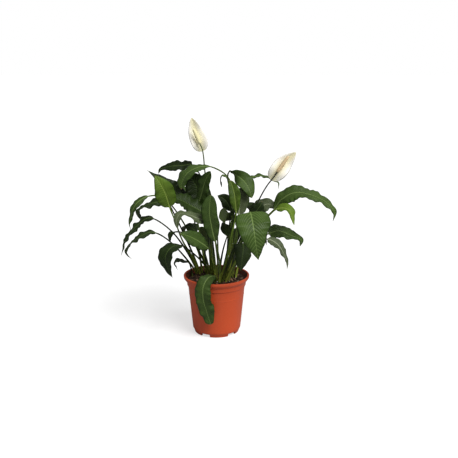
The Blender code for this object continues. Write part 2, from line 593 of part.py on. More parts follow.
def blade_outline(s, swell, draw):
    """Half the blade's width along its midrib, from 0 to 1: the larger the swell, the
    slower it widens from its base, and the larger the draw, the longer its tip."""
    shape = s ** swell * (1 - s) ** draw
    peak = swell / (swell + draw)
    return shape / (peak ** swell * (1 - peak) ** draw)


def ring_at(centre, across, up, half_width, fold, thick, round_share):
    """One ring of a leaf: a circle on the stalk, a thin folded strip on the blade."""
    angles = np.radians([180, 135, 90, 45, 0, -45, -90, -135])
    spread = np.cos(angles)
    flat = np.array([-1, -0.5, 0, 0.5, 1, 0.5, 0, -0.5])
    lift = np.abs(flat) * half_width * math.sin(fold)
    edge = np.array([0, 0.6, 1, 0.6, 0, -0.6, -1, -0.6]) * thick / 2
    x_flat = flat * half_width * math.cos(fold)
    x_round = spread * half_width
    z_flat = lift + edge
    z_round = np.sin(angles) * thick / 2
    x = x_round * round_share + x_flat * (1 - round_share)
    z = z_round * round_share + z_flat * (1 - round_share)
    return centre + x[:, None] * across + z[:, None] * up


def frames(points, base_index, face_base, face_tip):
    """The crosswise and upward directions along a leaf, from the way it faces."""
    tangent = unit(np.gradient(points, axis=0))
    base = unit(np.cross(tangent[base_index], face_base))
    tip = unit(np.cross(tangent[-1], face_tip))
    share = np.clip((np.arange(len(points)) - base_index)
                    / (len(points) - 1 - base_index), 0, 1)[:, None]
    across = base * (1 - share) + tip * share
    across = unit(across - np.sum(across * tangent, axis=1, keepdims=True) * tangent)
    return across, np.cross(across, tangent)


def rooted(stalk):
    """The knots of a stalk, which starts upright in its socket in the soil."""
    foot = stalk[0]
    return [(*foot, SOIL_TOP - ROOTED_DEPTH), (*foot, SOIL_TOP + ABOVE_SOIL)] + list(stalk[1:])


def leaf_path(stalk, midrib, s):
    """Points from the foot of the stalk to the tip of the blade: the foot, STALK_RINGS
    points up the stalk, and one for each share s along the midrib."""
    knots = rooted(stalk)
    split = len(knots) * CURVE_STEPS
    knots += list(midrib)
    curve = smooth_path(knots)
    shares = np.linspace(0, 1, STALK_RINGS, endpoint=False)
    on_stalk = walked(curve, CURVE_STEPS, split, shares)
    on_blade = walked(curve, split, len(curve) - 1, s)
    return np.vstack([[knots[0]], on_stalk, on_blade])


def leaf(row, finishes):
    """One leaf, stalk and blade in one skin of rings."""
    name, half_width, swell, draw, fold, colour, face_base, face_tip, stalk, midrib = row
    s = np.linspace(0, 1, BLADE_RINGS) ** RING_CROWDING
    points = leaf_path(stalk, midrib, s)
    base = 1 + STALK_RINGS
    across, up = frames(points, base, face_base, face_tip)
    across[0] = unit(across[1] * (1, 1, 0))
    up[0] = np.cross(across[0], (0, 0, 1))
    radius = np.interp(np.arange(base), [0, 1, base - 1], [FOOT_STALK, FOOT_STALK, TOP_STALK])
    width = np.maximum(half_width * blade_outline(s, swell, draw), TIP_WIDTH)
    width[0] = TOP_STALK
    thick = np.interp(s, [0, 0.12, 0.8, 1],
                      [2 * TOP_STALK, RIB_THICKNESS, BLADE_THICKNESS, TIP_THICKNESS])
    rings = [ring_at(points[i], across[i], up[i], radius[i], 0.0, 2 * radius[i], 1.0)
             for i in range(base)]
    for k in range(BLADE_RINGS):
        i = base + k
        rings.append(ring_at(points[i], across[i], up[i], width[k],
                             math.radians(fold), thick[k], float(k == 0)))
    points, faces = lofted(rings)
    return add_object(name, points, faces, finishes[colour])


def rod(name, path, radii, finish, sides):
    """A round rod along a path of points, thinning as the radii say."""
    path = np.asarray(path, float)
    tangent = unit(np.gradient(path, axis=0))
    across = unit(np.cross(tangent, (0.1, 1.0, 0.2)))
    up = np.cross(across, tangent)
    angles = np.linspace(0, 2 * math.pi, sides, endpoint=False)
    rings = [centre + radius * (np.cos(angles)[:, None] * a + np.sin(angles)[:, None] * b)
             for centre, radius, a, b in zip(path, radii, across, up)]
    points, faces = lofted(rings)
    return add_object(name, points, faces, finish)


def peduncle(name, stalk, finish):
    """A flower's stalk, from its foot in the soil to just under the spadix."""
    knots = rooted(stalk)
    curve = smooth_path(knots)
    shares = np.linspace(0, 1, PEDUNCLE_RINGS)
    path = np.vstack([[knots[0]], walked(curve, CURVE_STEPS, len(curve) - 1, shares)])
    radii = np.interp(np.arange(len(path)), [0, 1, len(path) - 1],
                      [PEDUNCLE_FOOT, PEDUNCLE_FOOT, PEDUNCLE_TOP])
    return rod(name, path, radii, finish, RING_POINTS)


def spathe(name, midrib, half_width, face, finish):
    """The white hood: a broad cupped sheet that draws out to a point."""
    curve = smooth_path(midrib)
    s = np.linspace(0, 1, SPATHE_RINGS)
    points = walked(curve, 0, len(curve) - 1, s)
    across, up = frames(points, 0, face, face)
    shape = s ** SPATHE_SWELL * (1 - s) ** SPATHE_DRAW
    width = np.maximum(half_width * shape / shape.max(), TIP_WIDTH)
    width[0] = SPATHE_FOOT
    rings = [ring_at(points[k], across[k], up[k], width[k], math.radians(SPATHE_FOLD),
                     SPATHE_THICKNESS, 0.0) for k in range(SPATHE_RINGS)]
    points, faces = lofted(rings)
    return add_object(name, points, faces, finish)


def spadix(name, ends, finish):
    """The upright club of tiny flowers, rounded at its top."""
    start, stop = (np.asarray(end, float) for end in ends)
    shares = np.array([0.0, 0.06, 0.16, 0.5, 0.85, 0.96, 1.0])
    fullness = np.array([0.40, 0.80, 1.0, 1.0, 0.86, 0.62, 0.25])
    path = start + shares[:, None] * (stop - start)
    return rod(name, path, SPADIX_RADIUS * fullness, finish, SPADIX_SIDES)


def socket_radius(foot_radius):
    """A socket whose flat sides clear a stalk's foot."""
    return foot_radius / math.cos(math.pi / RING_POINTS) + SOCKET_GAP


def main():
    for old in list(bpy.data.objects):
        bpy.data.objects.remove(old, do_unlink=True)
    greens = {GREEN_DARK: "leaf_green_dark", GREEN_MID: "leaf_green",
              GREEN_BRIGHT: "leaf_green_young", GREEN_GREY: "leaf_green_underside"}
    finishes = {colour: material(name, colour, 0.38) for colour, name in greens.items()}
    stalk_finish = material("stalk_green", STALK_GREEN, 0.45)
    cream = material("spathe_cream", CREAM, 0.5)
    straw = material("spadix_straw", STRAW, 0.7)
    pot()
    feet = [(row[8][0], socket_radius(FOOT_STALK)) for row in LEAVES]
    feet += [(row[1][0], socket_radius(PEDUNCLE_FOOT)) for row in FLOWERS]
    soil(feet)
    for row in LEAVES:
        leaf(row, finishes)
    for name, stalk, midrib, half_width, face, ends in FLOWERS:
        peduncle(name + "_stalk", stalk, stalk_finish)
        spathe(name + "_spathe", midrib, half_width, face, cream)
        spadix(name + "_spadix", ends, straw)


main()
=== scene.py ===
# %% [markdown]
# # A peace lily in a growers' pot
#
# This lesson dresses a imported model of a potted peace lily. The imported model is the
# frame: it says where the pot, the soil, every leaf and both flowers are. Each piece is
# made again here as a fine surface with a finish of its own, in the same place.
#
# Almost every piece is one idea: a ring of points carried along a path. A leaf's ring is
# round on the stalk and opens into a folded strip on the blade.

# %% The frame
import math

import bpy
import numpy as np
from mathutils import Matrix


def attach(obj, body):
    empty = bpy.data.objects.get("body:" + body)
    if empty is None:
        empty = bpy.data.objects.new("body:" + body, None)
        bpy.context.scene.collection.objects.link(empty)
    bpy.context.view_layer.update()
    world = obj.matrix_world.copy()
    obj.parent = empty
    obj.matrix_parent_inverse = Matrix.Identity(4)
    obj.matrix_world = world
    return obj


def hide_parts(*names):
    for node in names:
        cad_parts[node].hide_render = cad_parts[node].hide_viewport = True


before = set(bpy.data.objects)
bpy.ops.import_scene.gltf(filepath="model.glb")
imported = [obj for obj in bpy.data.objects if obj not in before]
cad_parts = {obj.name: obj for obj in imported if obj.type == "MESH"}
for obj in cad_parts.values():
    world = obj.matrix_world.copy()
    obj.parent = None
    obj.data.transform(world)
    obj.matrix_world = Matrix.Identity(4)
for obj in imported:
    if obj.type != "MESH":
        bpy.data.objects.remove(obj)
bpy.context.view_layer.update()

# %% [markdown]
# ## The camera
#
# The plant is seen from the front, a little from above, by an eye 1.6 m away. A 51 mm
# lens on a 36 mm sensor takes in the whole plant with room round it. The camera comes
# first, because every later choice is judged through it.

# %% Set up the camera
EYE = (0.0324, -1.600, 0.670)
LOOK_DOWN = math.radians(13.95)
LENS_MM = 50.9
SENSOR_MM = 36.0

lens = bpy.data.cameras.new("camera")
lens.lens = LENS_MM
lens.sensor_width = SENSOR_MM
camera = bpy.data.objects.new("camera", lens)
camera.location = EYE
camera.rotation_euler = (math.pi / 2 - LOOK_DOWN, 0.0, 0.0)
bpy.context.scene.collection.objects.link(camera)
bpy.context.scene.camera = camera
print("camera at", EYE, "lens", LENS_MM)

# %% [markdown]
# ## The light and the floor
#
# A plant on a white studio table is lit a little from all round by the room, with one
# large soft light high on the right that models the leaves and leaves their left sides
# dark. A lamp close by would fade towards the back of the table. A sun with a wide disc
# gives the same soft edge and lights the whole table evenly. The Standard view keeps
# white paper white.

# %% Light the studio
KEY_FROM = (0.62, -0.70, 1.10)
KEY_POWER = 3.8
KEY_SPREAD = math.radians(38)
ROOM_LIGHT = 0.32
ROOM_SEEN = 1.0

sun = bpy.data.lights.new("key_light", "SUN")
sun.energy = KEY_POWER
sun.angle = KEY_SPREAD
key = bpy.data.objects.new("key_light", sun)
key.rotation_euler = (math.atan2(math.hypot(KEY_FROM[0], KEY_FROM[1]), KEY_FROM[2]), 0.0,
                      math.atan2(KEY_FROM[0], -KEY_FROM[1]))
bpy.context.scene.collection.objects.link(key)

room = bpy.data.worlds.new("room")
room.use_nodes = True
wall = room.node_tree.nodes["Background"]
wall.inputs["Color"].default_value = (1.0, 1.0, 1.0, 1.0)
ray = room.node_tree.nodes.new("ShaderNodeLightPath")
level = room.node_tree.nodes.new("ShaderNodeMapRange")
level.inputs["To Min"].default_value = ROOM_LIGHT
level.inputs["To Max"].default_value = ROOM_SEEN
room.node_tree.links.new(ray.outputs["Is Camera Ray"], level.inputs["Value"])
room.node_tree.links.new(level.outputs["Result"], wall.inputs["Strength"])
bpy.context.scene.world = room
bpy.context.scene.view_settings.view_transform = "Standard"
print("key:", KEY_POWER, "room:", ROOM_LIGHT)

# %% [markdown]
# ## Finishes in a few words
#
# A finish is a material whose colour, gloss and small relief are worked out by nodes. A
# small class keeps that short: each method adds one node and gives back its output, so a
# finish reads like a sum. Numbers that are the same all over sit on the shader itself.


# %% A short way to write finishes
class Finish:
    """One material. Its methods each add a node and return that node's output."""

    def __init__(self, name, **shader_values):
        self.material = bpy.data.materials.new(name)
        self.material.use_nodes = True
        self.tree = self.material.node_tree
        self.shader = self.tree.nodes["Principled BSDF"]
        for socket, value in shader_values.items():
            self.shader.inputs[socket.replace("_", " ").title().replace("Ior", "IOR")
                               ].default_value = value

    def put(self, socket, value):
        """Links an output to a socket, or sets the socket to a plain value."""
        if hasattr(value, "links"):
            self.tree.links.new(value, socket)
        elif isinstance(value, tuple) and len(value) == 3 and socket.type == "RGBA":
            socket.default_value = (*value, 1.0)
        else:
            socket.default_value = value

    def add(self, kind, inputs, output=0, **settings):
        node = self.tree.nodes.new(kind)
        for key, value in settings.items():
            setattr(node, key, value)
        for key, value in inputs.items():
            self.put(node.inputs[key], value)
        return node.outputs[output]

    def math(self, operation, a, b=0.0, clamp=False):
        return self.add("ShaderNodeMath", {0: a, 1: b}, operation=operation,
                        use_clamp=clamp)

    def times(self, a, b):
        return self.math("MULTIPLY", a, b)

    def ridges(self, count, times=1.0):
        """Zero on every whole count and one half way: the size of the sine of pi times it."""
        return self.math("ABSOLUTE", self.math("SINE", self.times(count, times * math.pi)))

    def place(self):
        """The point's own place in the row frame."""
        return self.add("ShaderNodeTexCoord", {}, output="Object")

    def field(self, name):
        """A number that the surface carries at each point."""
        return self.add("ShaderNodeAttribute", {}, output="Fac", attribute_name=name)

    def noise(self, scale, detail=3.0, rough=0.5, where=None):
        return self.add("ShaderNodeTexNoise", {
            "Vector": where or self.place(), "Scale": scale, "Detail": detail,
            "Roughness": rough}, output=0)

    def rise(self, value, start, end, low=0.0, high=1.0):
        """Goes smoothly from low to high as the value goes from start to end."""
        return self.add("ShaderNodeMapRange", {
            "Value": value, "From Min": start, "From Max": end, "To Min": low,
            "To Max": high}, interpolation_type="SMOOTHSTEP")

    def mix(self, share, a, b):
        """Colour a where the share is 0, and colour b where it is 1."""
        node = self.tree.nodes.new("ShaderNodeMix")
        node.data_type = "RGBA"
        self.put(node.inputs[0], share)
        self.put(node.inputs[6], a)
        self.put(node.inputs[7], b)
        return node.outputs[2]

    def bump(self, height, depth, strength=1.0):
        """Small relief: the height goes from 0 to 1, and the depth is in metres."""
        relief = self.add("ShaderNodeBump", {"Height": height, "Distance": depth,
                                             "Strength": strength}, output="Normal")
        self.put(self.shader.inputs["Normal"], relief)

    def finish(self, colour, roughness):
        self.put(self.shader.inputs["Base Color"], colour)
        self.put(self.shader.inputs["Roughness"], roughness)
        return self.material


def dimmed(colour, share):
    """The same colour with only a share of its light."""
    return tuple(share * value for value in colour)


print("finish helper ready")

# %% [markdown]
# ## The floor
#
# A plain pale table. Its edge must lie far outside the view, so a large square does. It
# is a single face, and a faint mottle keeps it from being a dead flat colour. A little
# light of the floor's own, seen by the camera only, keeps the plant's shadow on it pale.

# %% Lay the floor
FLOOR_HALF = 60.0
FLOOR_GLOW = 0.64

floor_finish = Finish("floor_white", specular_ior_level=0.0,
                      emission_color=(1.0, 1.0, 1.0, 1.0))
seen = floor_finish.add("ShaderNodeLightPath", {}, output="Is Camera Ray")
floor_finish.put(floor_finish.shader.inputs["Emission Strength"],
                 floor_finish.times(seen, FLOOR_GLOW))
floor_tone = floor_finish.noise(3.0, 2.0)
floor_colour = floor_finish.mix(floor_tone, (0.38, 0.38, 0.38), (0.41, 0.41, 0.41))
floor_finish.finish(floor_colour, 0.8)
floor_mesh = bpy.data.meshes.new("floor")
corners = FLOOR_HALF * np.array([(-1, -1, 0), (1, -1, 0), (1, 1, 0), (-1, 1, 0)], float)
floor_mesh.from_pydata(corners.tolist(), [], [(0, 1, 2, 3)])
floor_mesh.materials.append(floor_finish.material)
floor = bpy.data.objects.new("floor", floor_mesh)
bpy.context.scene.collection.objects.link(floor)
print("floor", 2 * FLOOR_HALF, "m across")

# %% [markdown]
# ## Surfaces from rings
#
# A ring is a closed loop of points. A row of equal rings, joined like the hoops of a
# barrel and closed at both ends, is a solid. Joining is pure counting, so the faces are
# worked out for the whole grid at once. A solid whose volume comes out negative is
# inside out, and its faces are turned round.


# %% Join rings into a solid
def face_counts(quads, fans):
    """Corner lists and first corners for four-sided faces followed by three-sided ones."""
    corners = np.concatenate([quads.ravel(), fans.ravel()])
    starts = np.concatenate([np.arange(len(quads)) * 4,
                             len(quads) * 4 + np.arange(len(fans)) * 3])
    return corners.astype(np.int32), starts.astype(np.int32)


def volume_of(points, quads, fans):
    """A sixth of the sum of the triple products of all triangles."""
    triangles = np.concatenate([quads[:, [0, 1, 2]], quads[:, [0, 2, 3]], fans])
    a, b, c = (points[triangles[:, k]] for k in range(3))
    return np.einsum("ij,ij->i", a, np.cross(b, c)).sum() / 6


def solid(name, points, quads, fans, finish, fields=None):
    """A smooth mesh object with its faces outwards, and a number field per point."""
    if volume_of(points, quads, fans) < 0:
        quads, fans = quads[:, ::-1], fans[:, ::-1]
    mesh = bpy.data.meshes.new(name)
    corners, starts = face_counts(quads, fans)
    mesh.vertices.add(len(points))
    mesh.vertices.foreach_set("co", points.astype(np.float32).ravel())
    mesh.loops.add(len(corners))
    mesh.loops.foreach_set("vertex_index", corners)
    mesh.polygons.add(len(starts))
    mesh.polygons.foreach_set("loop_start", starts)
    mesh.update(calc_edges=True)
    mesh.validate()
    mesh.shade_smooth()
    for field, values in (fields or {}).items():
        layer = mesh.attributes.new(field, "FLOAT", "POINT")
        layer.data.foreach_set("value", np.asarray(values, np.float32).ravel())
    mesh.materials.append(finish)
    made = bpy.data.objects.new(name, mesh)
    bpy.context.scene.collection.objects.link(made)
    return made


def ring_faces(rows, columns):
    """Quads between neighbouring rings, and a fan to a middle point at each end."""
    row, column = np.meshgrid(np.arange(rows - 1), np.arange(columns), indexing="ij")
    here = row * columns + column
    beside = row * columns + (column + 1) % columns
    quads = np.stack([here, beside, beside + columns, here + columns], axis=-1)
    around = np.arange(columns)
    after = (around + 1) % columns
    last = (rows - 1) * columns
    foot, tip = rows * columns, rows * columns + 1
    fans = np.concatenate([
        np.stack([after, around, np.full(columns, foot)], axis=-1),
        np.stack([last + around, last + after, np.full(columns, tip)], axis=-1)])
    return quads.reshape(-1, 4), fans


def ring_solid(name, rings, finish, fields=None):
    """A closed solid over rings[i, j], with a middle point at each end."""
    rows, columns = rings.shape[:2]
    ends = np.stack([rings[0].mean(axis=0), rings[-1].mean(axis=0)])
    points = np.concatenate([rings.reshape(-1, 3), ends])
    quads, fans = ring_faces(rows, columns)
    full = {}
    for field, values in (fields or {}).items():
        full[field] = np.concatenate([values.ravel(), [values[0].mean(), values[-1].mean()]])
    return solid(name, points, quads, fans, finish, full)


print("ring tools ready")

# %% [markdown]
# ## Paths
#
# Stalks and midribs bend smoothly through a few places. A Catmull-Rom curve passes
# through every one of them; the centripetal kind never loops back at a close pair. The
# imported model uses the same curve, so the fine leaf lies where its solid lies.


# %% Curves through points
CURVE_STEPS = 12
PER_METRE = 1000
TUBE_START = (0.1, 1.0, 0.2)


def metres(places):
    """The tables give places in millimetres."""
    return [tuple(value / PER_METRE for value in place) for place in places]


def unit(vectors):
    """Each vector divided by its length."""
    return vectors / np.linalg.norm(vectors, axis=-1, keepdims=True)


def smooth_path(knots):
    """A centripetal Catmull-Rom curve: each span blends lines through four knots."""
    knots = np.asarray(knots, float)
    ends = np.vstack([2 * knots[0] - knots[1], knots, 2 * knots[-1] - knots[-2]])
    gaps = np.linalg.norm(np.diff(ends, axis=0), axis=1) ** 0.5
    times = np.concatenate([[0.0], np.cumsum(gaps)])
    t0, t1, t2, t3 = (times[k:len(times) - 3 + k, None, None] for k in range(4))
    p0, p1, p2, p3 = (ends[k:len(ends) - 3 + k, None, :] for k in range(4))
    share = np.linspace(0, 1, CURVE_STEPS, endpoint=False)[None, :, None]
    t = t1 + (t2 - t1) * share
    a1 = ((t1 - t) * p0 + (t - t0) * p1) / (t1 - t0)
    a2 = ((t2 - t) * p1 + (t - t1) * p2) / (t2 - t1)
    a3 = ((t3 - t) * p2 + (t - t2) * p3) / (t3 - t2)
    b1 = ((t2 - t) * a1 + (t - t0) * a2) / (t2 - t0)
    b2 = ((t3 - t) * a2 + (t - t1) * a3) / (t3 - t1)
    curve = ((t2 - t) * b1 + (t - t1) * b2) / (t2 - t1)
    return np.vstack([curve.reshape(-1, 3), knots[-1:]])


def walked(curve, first, last, shares):
    """Points between two of the curve's own points, at shares of that length."""
    piece = curve[first:last + 1]
    along = np.concatenate([[0.0], np.cumsum(np.linalg.norm(np.diff(piece, axis=0), axis=1))])
    at = np.asarray(shares) * along[-1]
    return np.stack([np.interp(at, along, piece[:, k]) for k in range(3)], axis=1), along[-1]


def side_and_up(points, base, face_base, face_tip):
    """The crosswise direction turns evenly from the base's to the tip's, square to the
    path; up is square to both."""
    tangent = unit(np.gradient(points, axis=0))
    first = unit(np.cross(tangent[base], face_base))
    last = unit(np.cross(tangent[-1], face_tip))
    share = np.clip((np.arange(len(points)) - base) / (len(points) - 1 - base), 0, 1)
    across = first * (1 - share[:, None]) + last * share[:, None]
    across = unit(across - np.sum(across * tangent, axis=1, keepdims=True) * tangent)
    return across, np.cross(across, tangent)


def swept(points, x, z, across, up):
    """Rings along a path: each ring point is the path's point, plus x across and z up."""
    return (points[:, None, :] + x[..., None] * across[:, None, :]
            + z[..., None] * up[:, None, :])


def tube_rings(path, radius, turns_round):
    """Circles square to the path, from two directions square to it."""
    tangent = unit(np.gradient(path, axis=0))
    across = unit(np.cross(tangent, TUBE_START))
    angle = np.linspace(0, 2 * math.pi, turns_round, endpoint=False)
    return swept(path, radius * np.cos(angle), radius * np.sin(angle), across,
                 np.cross(across, tangent))


print("path tools ready")

# %% [markdown]
# ## The pot
#
# The real pot is one thin moulded shell of terracotta-coloured plastic: a flared rim
# band, a collar, a faint stacking ring, a tapered wall and five feet. It could be turned
# with a Screw modifier, but the feet need the lower edge to rise and fall round the
# pot. As a grid of angle by profile, the notches are just a rule for the height.

# %% The pot's profile
RIM_R, RIM_TOP, RIM_BAND, LIP = 0.0850, 0.152, 0.0130, 0.0010
COLLAR_R, COLLAR_DEPTH, SHOULDER_R = 0.0770, 0.0270, 0.0735
FOOT_R, BASE_R, WALL, SKIRT = 0.0612, 0.0585, 0.0022, 0.0050
FLOOR_LOW, FLOOR_TOP, BOSS_R = 0.0095, 0.0117, 0.0150
RING_DROP, HEEL = 0.0240, 0.0110
COLLAR_LOW = RIM_TOP - COLLAR_DEPTH


def wall_radius(height):
    """The outside of the tapered wall: a straight line from foot to shoulder."""
    return FOOT_R + (SHOULDER_R - FOOT_R) * height / COLLAR_LOW


ring_z = COLLAR_LOW - RING_DROP
outside = [
    (RIM_R - LIP, RIM_TOP), (RIM_R, RIM_TOP - LIP), (RIM_R - LIP / 2, RIM_TOP - RIM_BAND / 2),
    (RIM_R - 0.0045, RIM_TOP - RIM_BAND + LIP), (COLLAR_R, RIM_TOP - RIM_BAND - LIP),
    (COLLAR_R - 0.0012, COLLAR_LOW + 0.0012), (SHOULDER_R, COLLAR_LOW),
    (wall_radius(ring_z + LIP), ring_z + LIP), (wall_radius(ring_z) + 0.0005, ring_z),
    (wall_radius(ring_z - LIP), ring_z - LIP), (wall_radius(HEEL), HEEL),
    (BASE_R, HEEL / 3), (BASE_R - LIP / 2, 0.0)]
under = [(BASE_R - SKIRT, 0.0), (BASE_R - SKIRT - LIP, FLOOR_LOW),
         (BOSS_R + LIP, FLOOR_LOW), (BOSS_R, 0.0)]
inside = [
    (wall_radius(FLOOR_TOP) - WALL - 0.0015, FLOOR_TOP),
    (wall_radius(FLOOR_TOP) - WALL, FLOOR_TOP + 0.003), (SHOULDER_R - WALL, COLLAR_LOW),
    (COLLAR_R - WALL - LIP, COLLAR_LOW + 0.003), (COLLAR_R - WALL, RIM_TOP - RIM_BAND),
    (RIM_R - WALL - 0.003, RIM_TOP - 0.003), (RIM_R - 2 * WALL, RIM_TOP)]
print("profile points:", len(outside) + len(under) + len(inside))

# %% Round the profile's corners
CORNER = 0.0009
CORNER_STEPS = 5


def rounded(corners, radius, steps):
    """Each inner corner becomes a short curve (1-t)^2 a + 2t(1-t) corner + t^2 b, from a
    point just before it to a point just after it."""
    corners = np.asarray(corners, float)
    here = corners[1:-1]
    before, after = corners[:-2] - here, corners[2:] - here
    reach_a = np.minimum(radius, 0.45 * np.linalg.norm(before, axis=1))[:, None]
    reach_b = np.minimum(radius, 0.45 * np.linalg.norm(after, axis=1))[:, None]
    a = (here + unit(before) * reach_a)[:, None, :]
    b = (here + unit(after) * reach_b)[:, None, :]
    t = np.linspace(0, 1, steps)[None, :, None]
    curves = (1 - t) ** 2 * a + 2 * t * (1 - t) * here[:, None, :] + t ** 2 * b
    return np.vstack([corners[:1], curves.reshape(-1, 2), corners[-1:]])


section = rounded([(0.0, 0.0)] + under[::-1] + outside[::-1] + inside[::-1]
                  + [(0.0, FLOOR_TOP)], CORNER, CORNER_STEPS)
print("rounded section:", len(section), "points")

# %% Turn the pot and cut its feet
FEET = 5
FIRST_FOOT = math.radians(-83)
NOTCH = math.radians(25)
NOTCH_TOP = 0.0080
EDGE = math.radians(0.35)
TURN_STEPS = 240


def turn_angles():
    """Even steps round the pot, with a close pair of extra ones at each notch edge."""
    middle = FIRST_FOOT + (np.arange(FEET) + 0.5) * 2 * math.pi / FEET
    edges = np.concatenate([middle - NOTCH / 2, middle + NOTCH / 2])
    extra = np.concatenate([edges - EDGE, edges + EDGE])
    even = np.linspace(0, 2 * math.pi, TURN_STEPS, endpoint=False)
    return np.unique(np.round(np.mod(np.concatenate([even, extra]), 2 * math.pi), 6)), middle


def lower_edge(angles, middle):
    """The height of the lower edge: up to NOTCH_TOP within half a notch of its middle,
    and down to zero within EDGE of its side."""
    apart = np.abs(np.angle(np.exp(1j * (angles[:, None] - middle[None, :])))).min(axis=1)
    return NOTCH_TOP * np.clip((NOTCH / 2 + EDGE - apart) / (2 * EDGE), 0, 1)


def pot_rings():
    """Every ring is the section turned to one height and radius. Near the lower edge a
    point rises to the notch, and slides along the wall as it does."""
    angles, middle = turn_angles()
    radius = np.repeat(section[1:-1, :1], len(angles), axis=1)
    height = np.repeat(section[1:-1, 1:], len(angles), axis=1)
    rim = (section[1:-1, 0] > BASE_R - SKIRT - 2 * LIP)[:, None] & (height < NOTCH_TOP)
    raised = np.where(rim, np.maximum(height, lower_edge(angles, middle)[None, :]), height)
    wall = np.interp(raised, [0.0, HEEL / 3, HEEL], [BASE_R - LIP / 2, BASE_R,
                                                    wall_radius(HEEL)])
    outer = rim & (radius > BASE_R - SKIRT / 2)
    radius = np.where(outer & (raised > height), wall, radius)
    return np.stack([radius * np.cos(angles), radius * np.sin(angles), raised], axis=-1)


def inner_share(rings):
    """One on the inside wall and floor, and zero elsewhere: past the rim's top, the
    section runs down the inside."""
    past_rim = np.arange(len(rings)) > np.argmax(rings[:, 0, 2]) + CORNER_STEPS
    return np.broadcast_to(past_rim[:, None].astype(float), rings.shape[:2])


rings = pot_rings()
print("pot grid:", rings.shape[:2])

# %% [markdown]
# The plastic is a dull orange-brown with a soft sheen. Real pots show faint mottling
# from the mould and a duller band low on the wall. Inside the rim the wall is darker:
# partly soil stains and partly painted shade. All of these follow from the place on the
# pot, so the finish reads the point's own height and the number that marks the inside.


# %% The terracotta plastic
def terracotta():
    """Orange-brown, mottled by two sizes of noise, darkened inside the rim by soil stains and
    painted shade.
    """
    finish = Finish("terracotta_plastic", specular_ior_level=0.36)
    place = finish.place()
    parts = finish.tree.nodes.new("ShaderNodeSeparateXYZ")
    finish.put(parts.inputs[0], place)
    broad = finish.noise(14.0, 4.0)
    fine = finish.noise(260.0, 3.0)
    colour = finish.mix(broad, (0.470, 0.056, 0.012), (0.540, 0.070, 0.016))
    colour = finish.mix(finish.rise(fine, 0.40, 0.75, 0.0, 0.14), colour,
                        (0.60, 0.12, 0.035))
    low = finish.rise(parts.outputs[2], 0.022, 0.0, 0.0, 0.35)
    colour = finish.mix(low, colour, (0.34, 0.050, 0.018))
    # Inside the rim: real soil stains plus painted shade, the inner wall darkened as if in
    # shade under the rim and leaves.
    soil_stain_and_shade = finish.times(finish.field("inner"),
                         finish.rise(parts.outputs[2], 0.156, 0.147))
    patchy_stain_and_shade = finish.times(soil_stain_and_shade, finish.rise(finish.noise(90.0, 4.0), 0.12, 0.45))
    colour = finish.mix(finish.times(patchy_stain_and_shade, 0.90), colour, (0.034, 0.016, 0.009))
    rough = finish.rise(broad, 0.3, 0.7, 0.42, 0.52)
    finish.bump(fine, 0.00012, 0.6)
    return finish.finish(colour, rough)


pot = ring_solid("pot_shell", rings, terracotta(), {"inner": inner_share(rings)})
pot.data.set_sharp_from_angle(angle=math.radians(50))
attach(pot, "root")
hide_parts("pot")
print("pot faces:", len(pot.data.polygons))

# %% [markdown]
# ## The soil
#
# Potting soil is dark peat with crumbs of many sizes, flat chips of bark and a few white
# grains. One bumpy disc would look like a cake, and real grains one by one would be
# millions. So a lumpy root ball fills the pot, and loose crumbs and chips, each with a
# few dozen faces, lie on it in three merged pieces.

# %% The lumpy root ball
SOIL_TOP, SOIL_CROWN, SOIL_R = 0.1400, 0.0015, 0.0738
WAVES, LUMP = 70, 0.00042
SOIL_GAP, SOIL_FILLET = 0.0006, 0.003
SOIL_STEPS, SOIL_ROWS = 180, 90

soil_random = np.random.default_rng(11)
wave_heading = soil_random.uniform(0, 2 * math.pi, WAVES)
wave_length = soil_random.uniform(0.004, 0.030, WAVES)
wave_start = soil_random.uniform(0, 2 * math.pi, WAVES)


def soil_height(x, y):
    """A low dome plus many small waves of random heading, the longer the higher."""
    across = (x[..., None] * np.cos(wave_heading) + y[..., None] * np.sin(wave_heading))
    waves = np.sin(2 * math.pi * across / wave_length + wave_start)
    lumps = (waves * (wave_length / 0.015) ** 0.7).sum(axis=-1) * LUMP / math.sqrt(8)
    dome = SOIL_CROWN * (1 - (x ** 2 + y ** 2) / SOIL_R ** 2)
    return SOIL_TOP + dome + lumps


def soil_rings():
    """Rings from the middle of the underside, up the wall and in over the top."""
    turn = np.linspace(0, 2 * math.pi, SOIL_STEPS, endpoint=False)
    low, corner = FLOOR_TOP + SOIL_GAP, wall_radius(FLOOR_TOP) - WALL
    side = np.array([(0.010, low), (corner - 0.0022, low),
                     (corner - SOIL_GAP, low + SOIL_FILLET),
                     (SHOULDER_R - WALL - SOIL_GAP, COLLAR_LOW),
                     (COLLAR_R - WALL - LIP - SOIL_GAP, COLLAR_LOW + SOIL_FILLET)])
    top = SOIL_R * np.linspace(1, 0.01, SOIL_ROWS)[:, None] ** 0.9
    radius = np.concatenate([side[:, :1], top])
    x, y = radius * np.cos(turn), radius * np.sin(turn)
    z = soil_height(x, y)
    z[:len(side)] = side[:, 1:]
    return np.stack([x, y, z], axis=-1)


def peat():
    """Almost black brown, with lighter crumbs where a fine noise is high."""
    finish = Finish("peat", specular_ior_level=0.25)
    fine = finish.noise(420.0, 6.0, 0.65)
    coarse = finish.noise(90.0, 4.0)
    colour = finish.mix(finish.rise(fine, 0.35, 0.7), (0.006, 0.003, 0.002),
                        (0.040, 0.019, 0.011))
    colour = finish.mix(finish.rise(coarse, 0.55, 0.75, 0.0, 0.5), colour,
                        (0.085, 0.044, 0.024))
    finish.bump(fine, 0.0012)
    return finish.finish(colour, finish.rise(fine, 0.3, 0.7, 0.75, 0.95))


soil = ring_solid("root_ball", soil_rings(), peat())
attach(soil, "root")
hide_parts("potting_soil")
print("root ball faces:", len(soil.data.polygons))

# %% [markdown]
# A crumb is a small eight-sided double pyramid with each face split in four and pushed
# out to a ball: 32 faces. Thousands of them differ only by three stretches, a turn and a
# place, so all their points are one array multiplication.


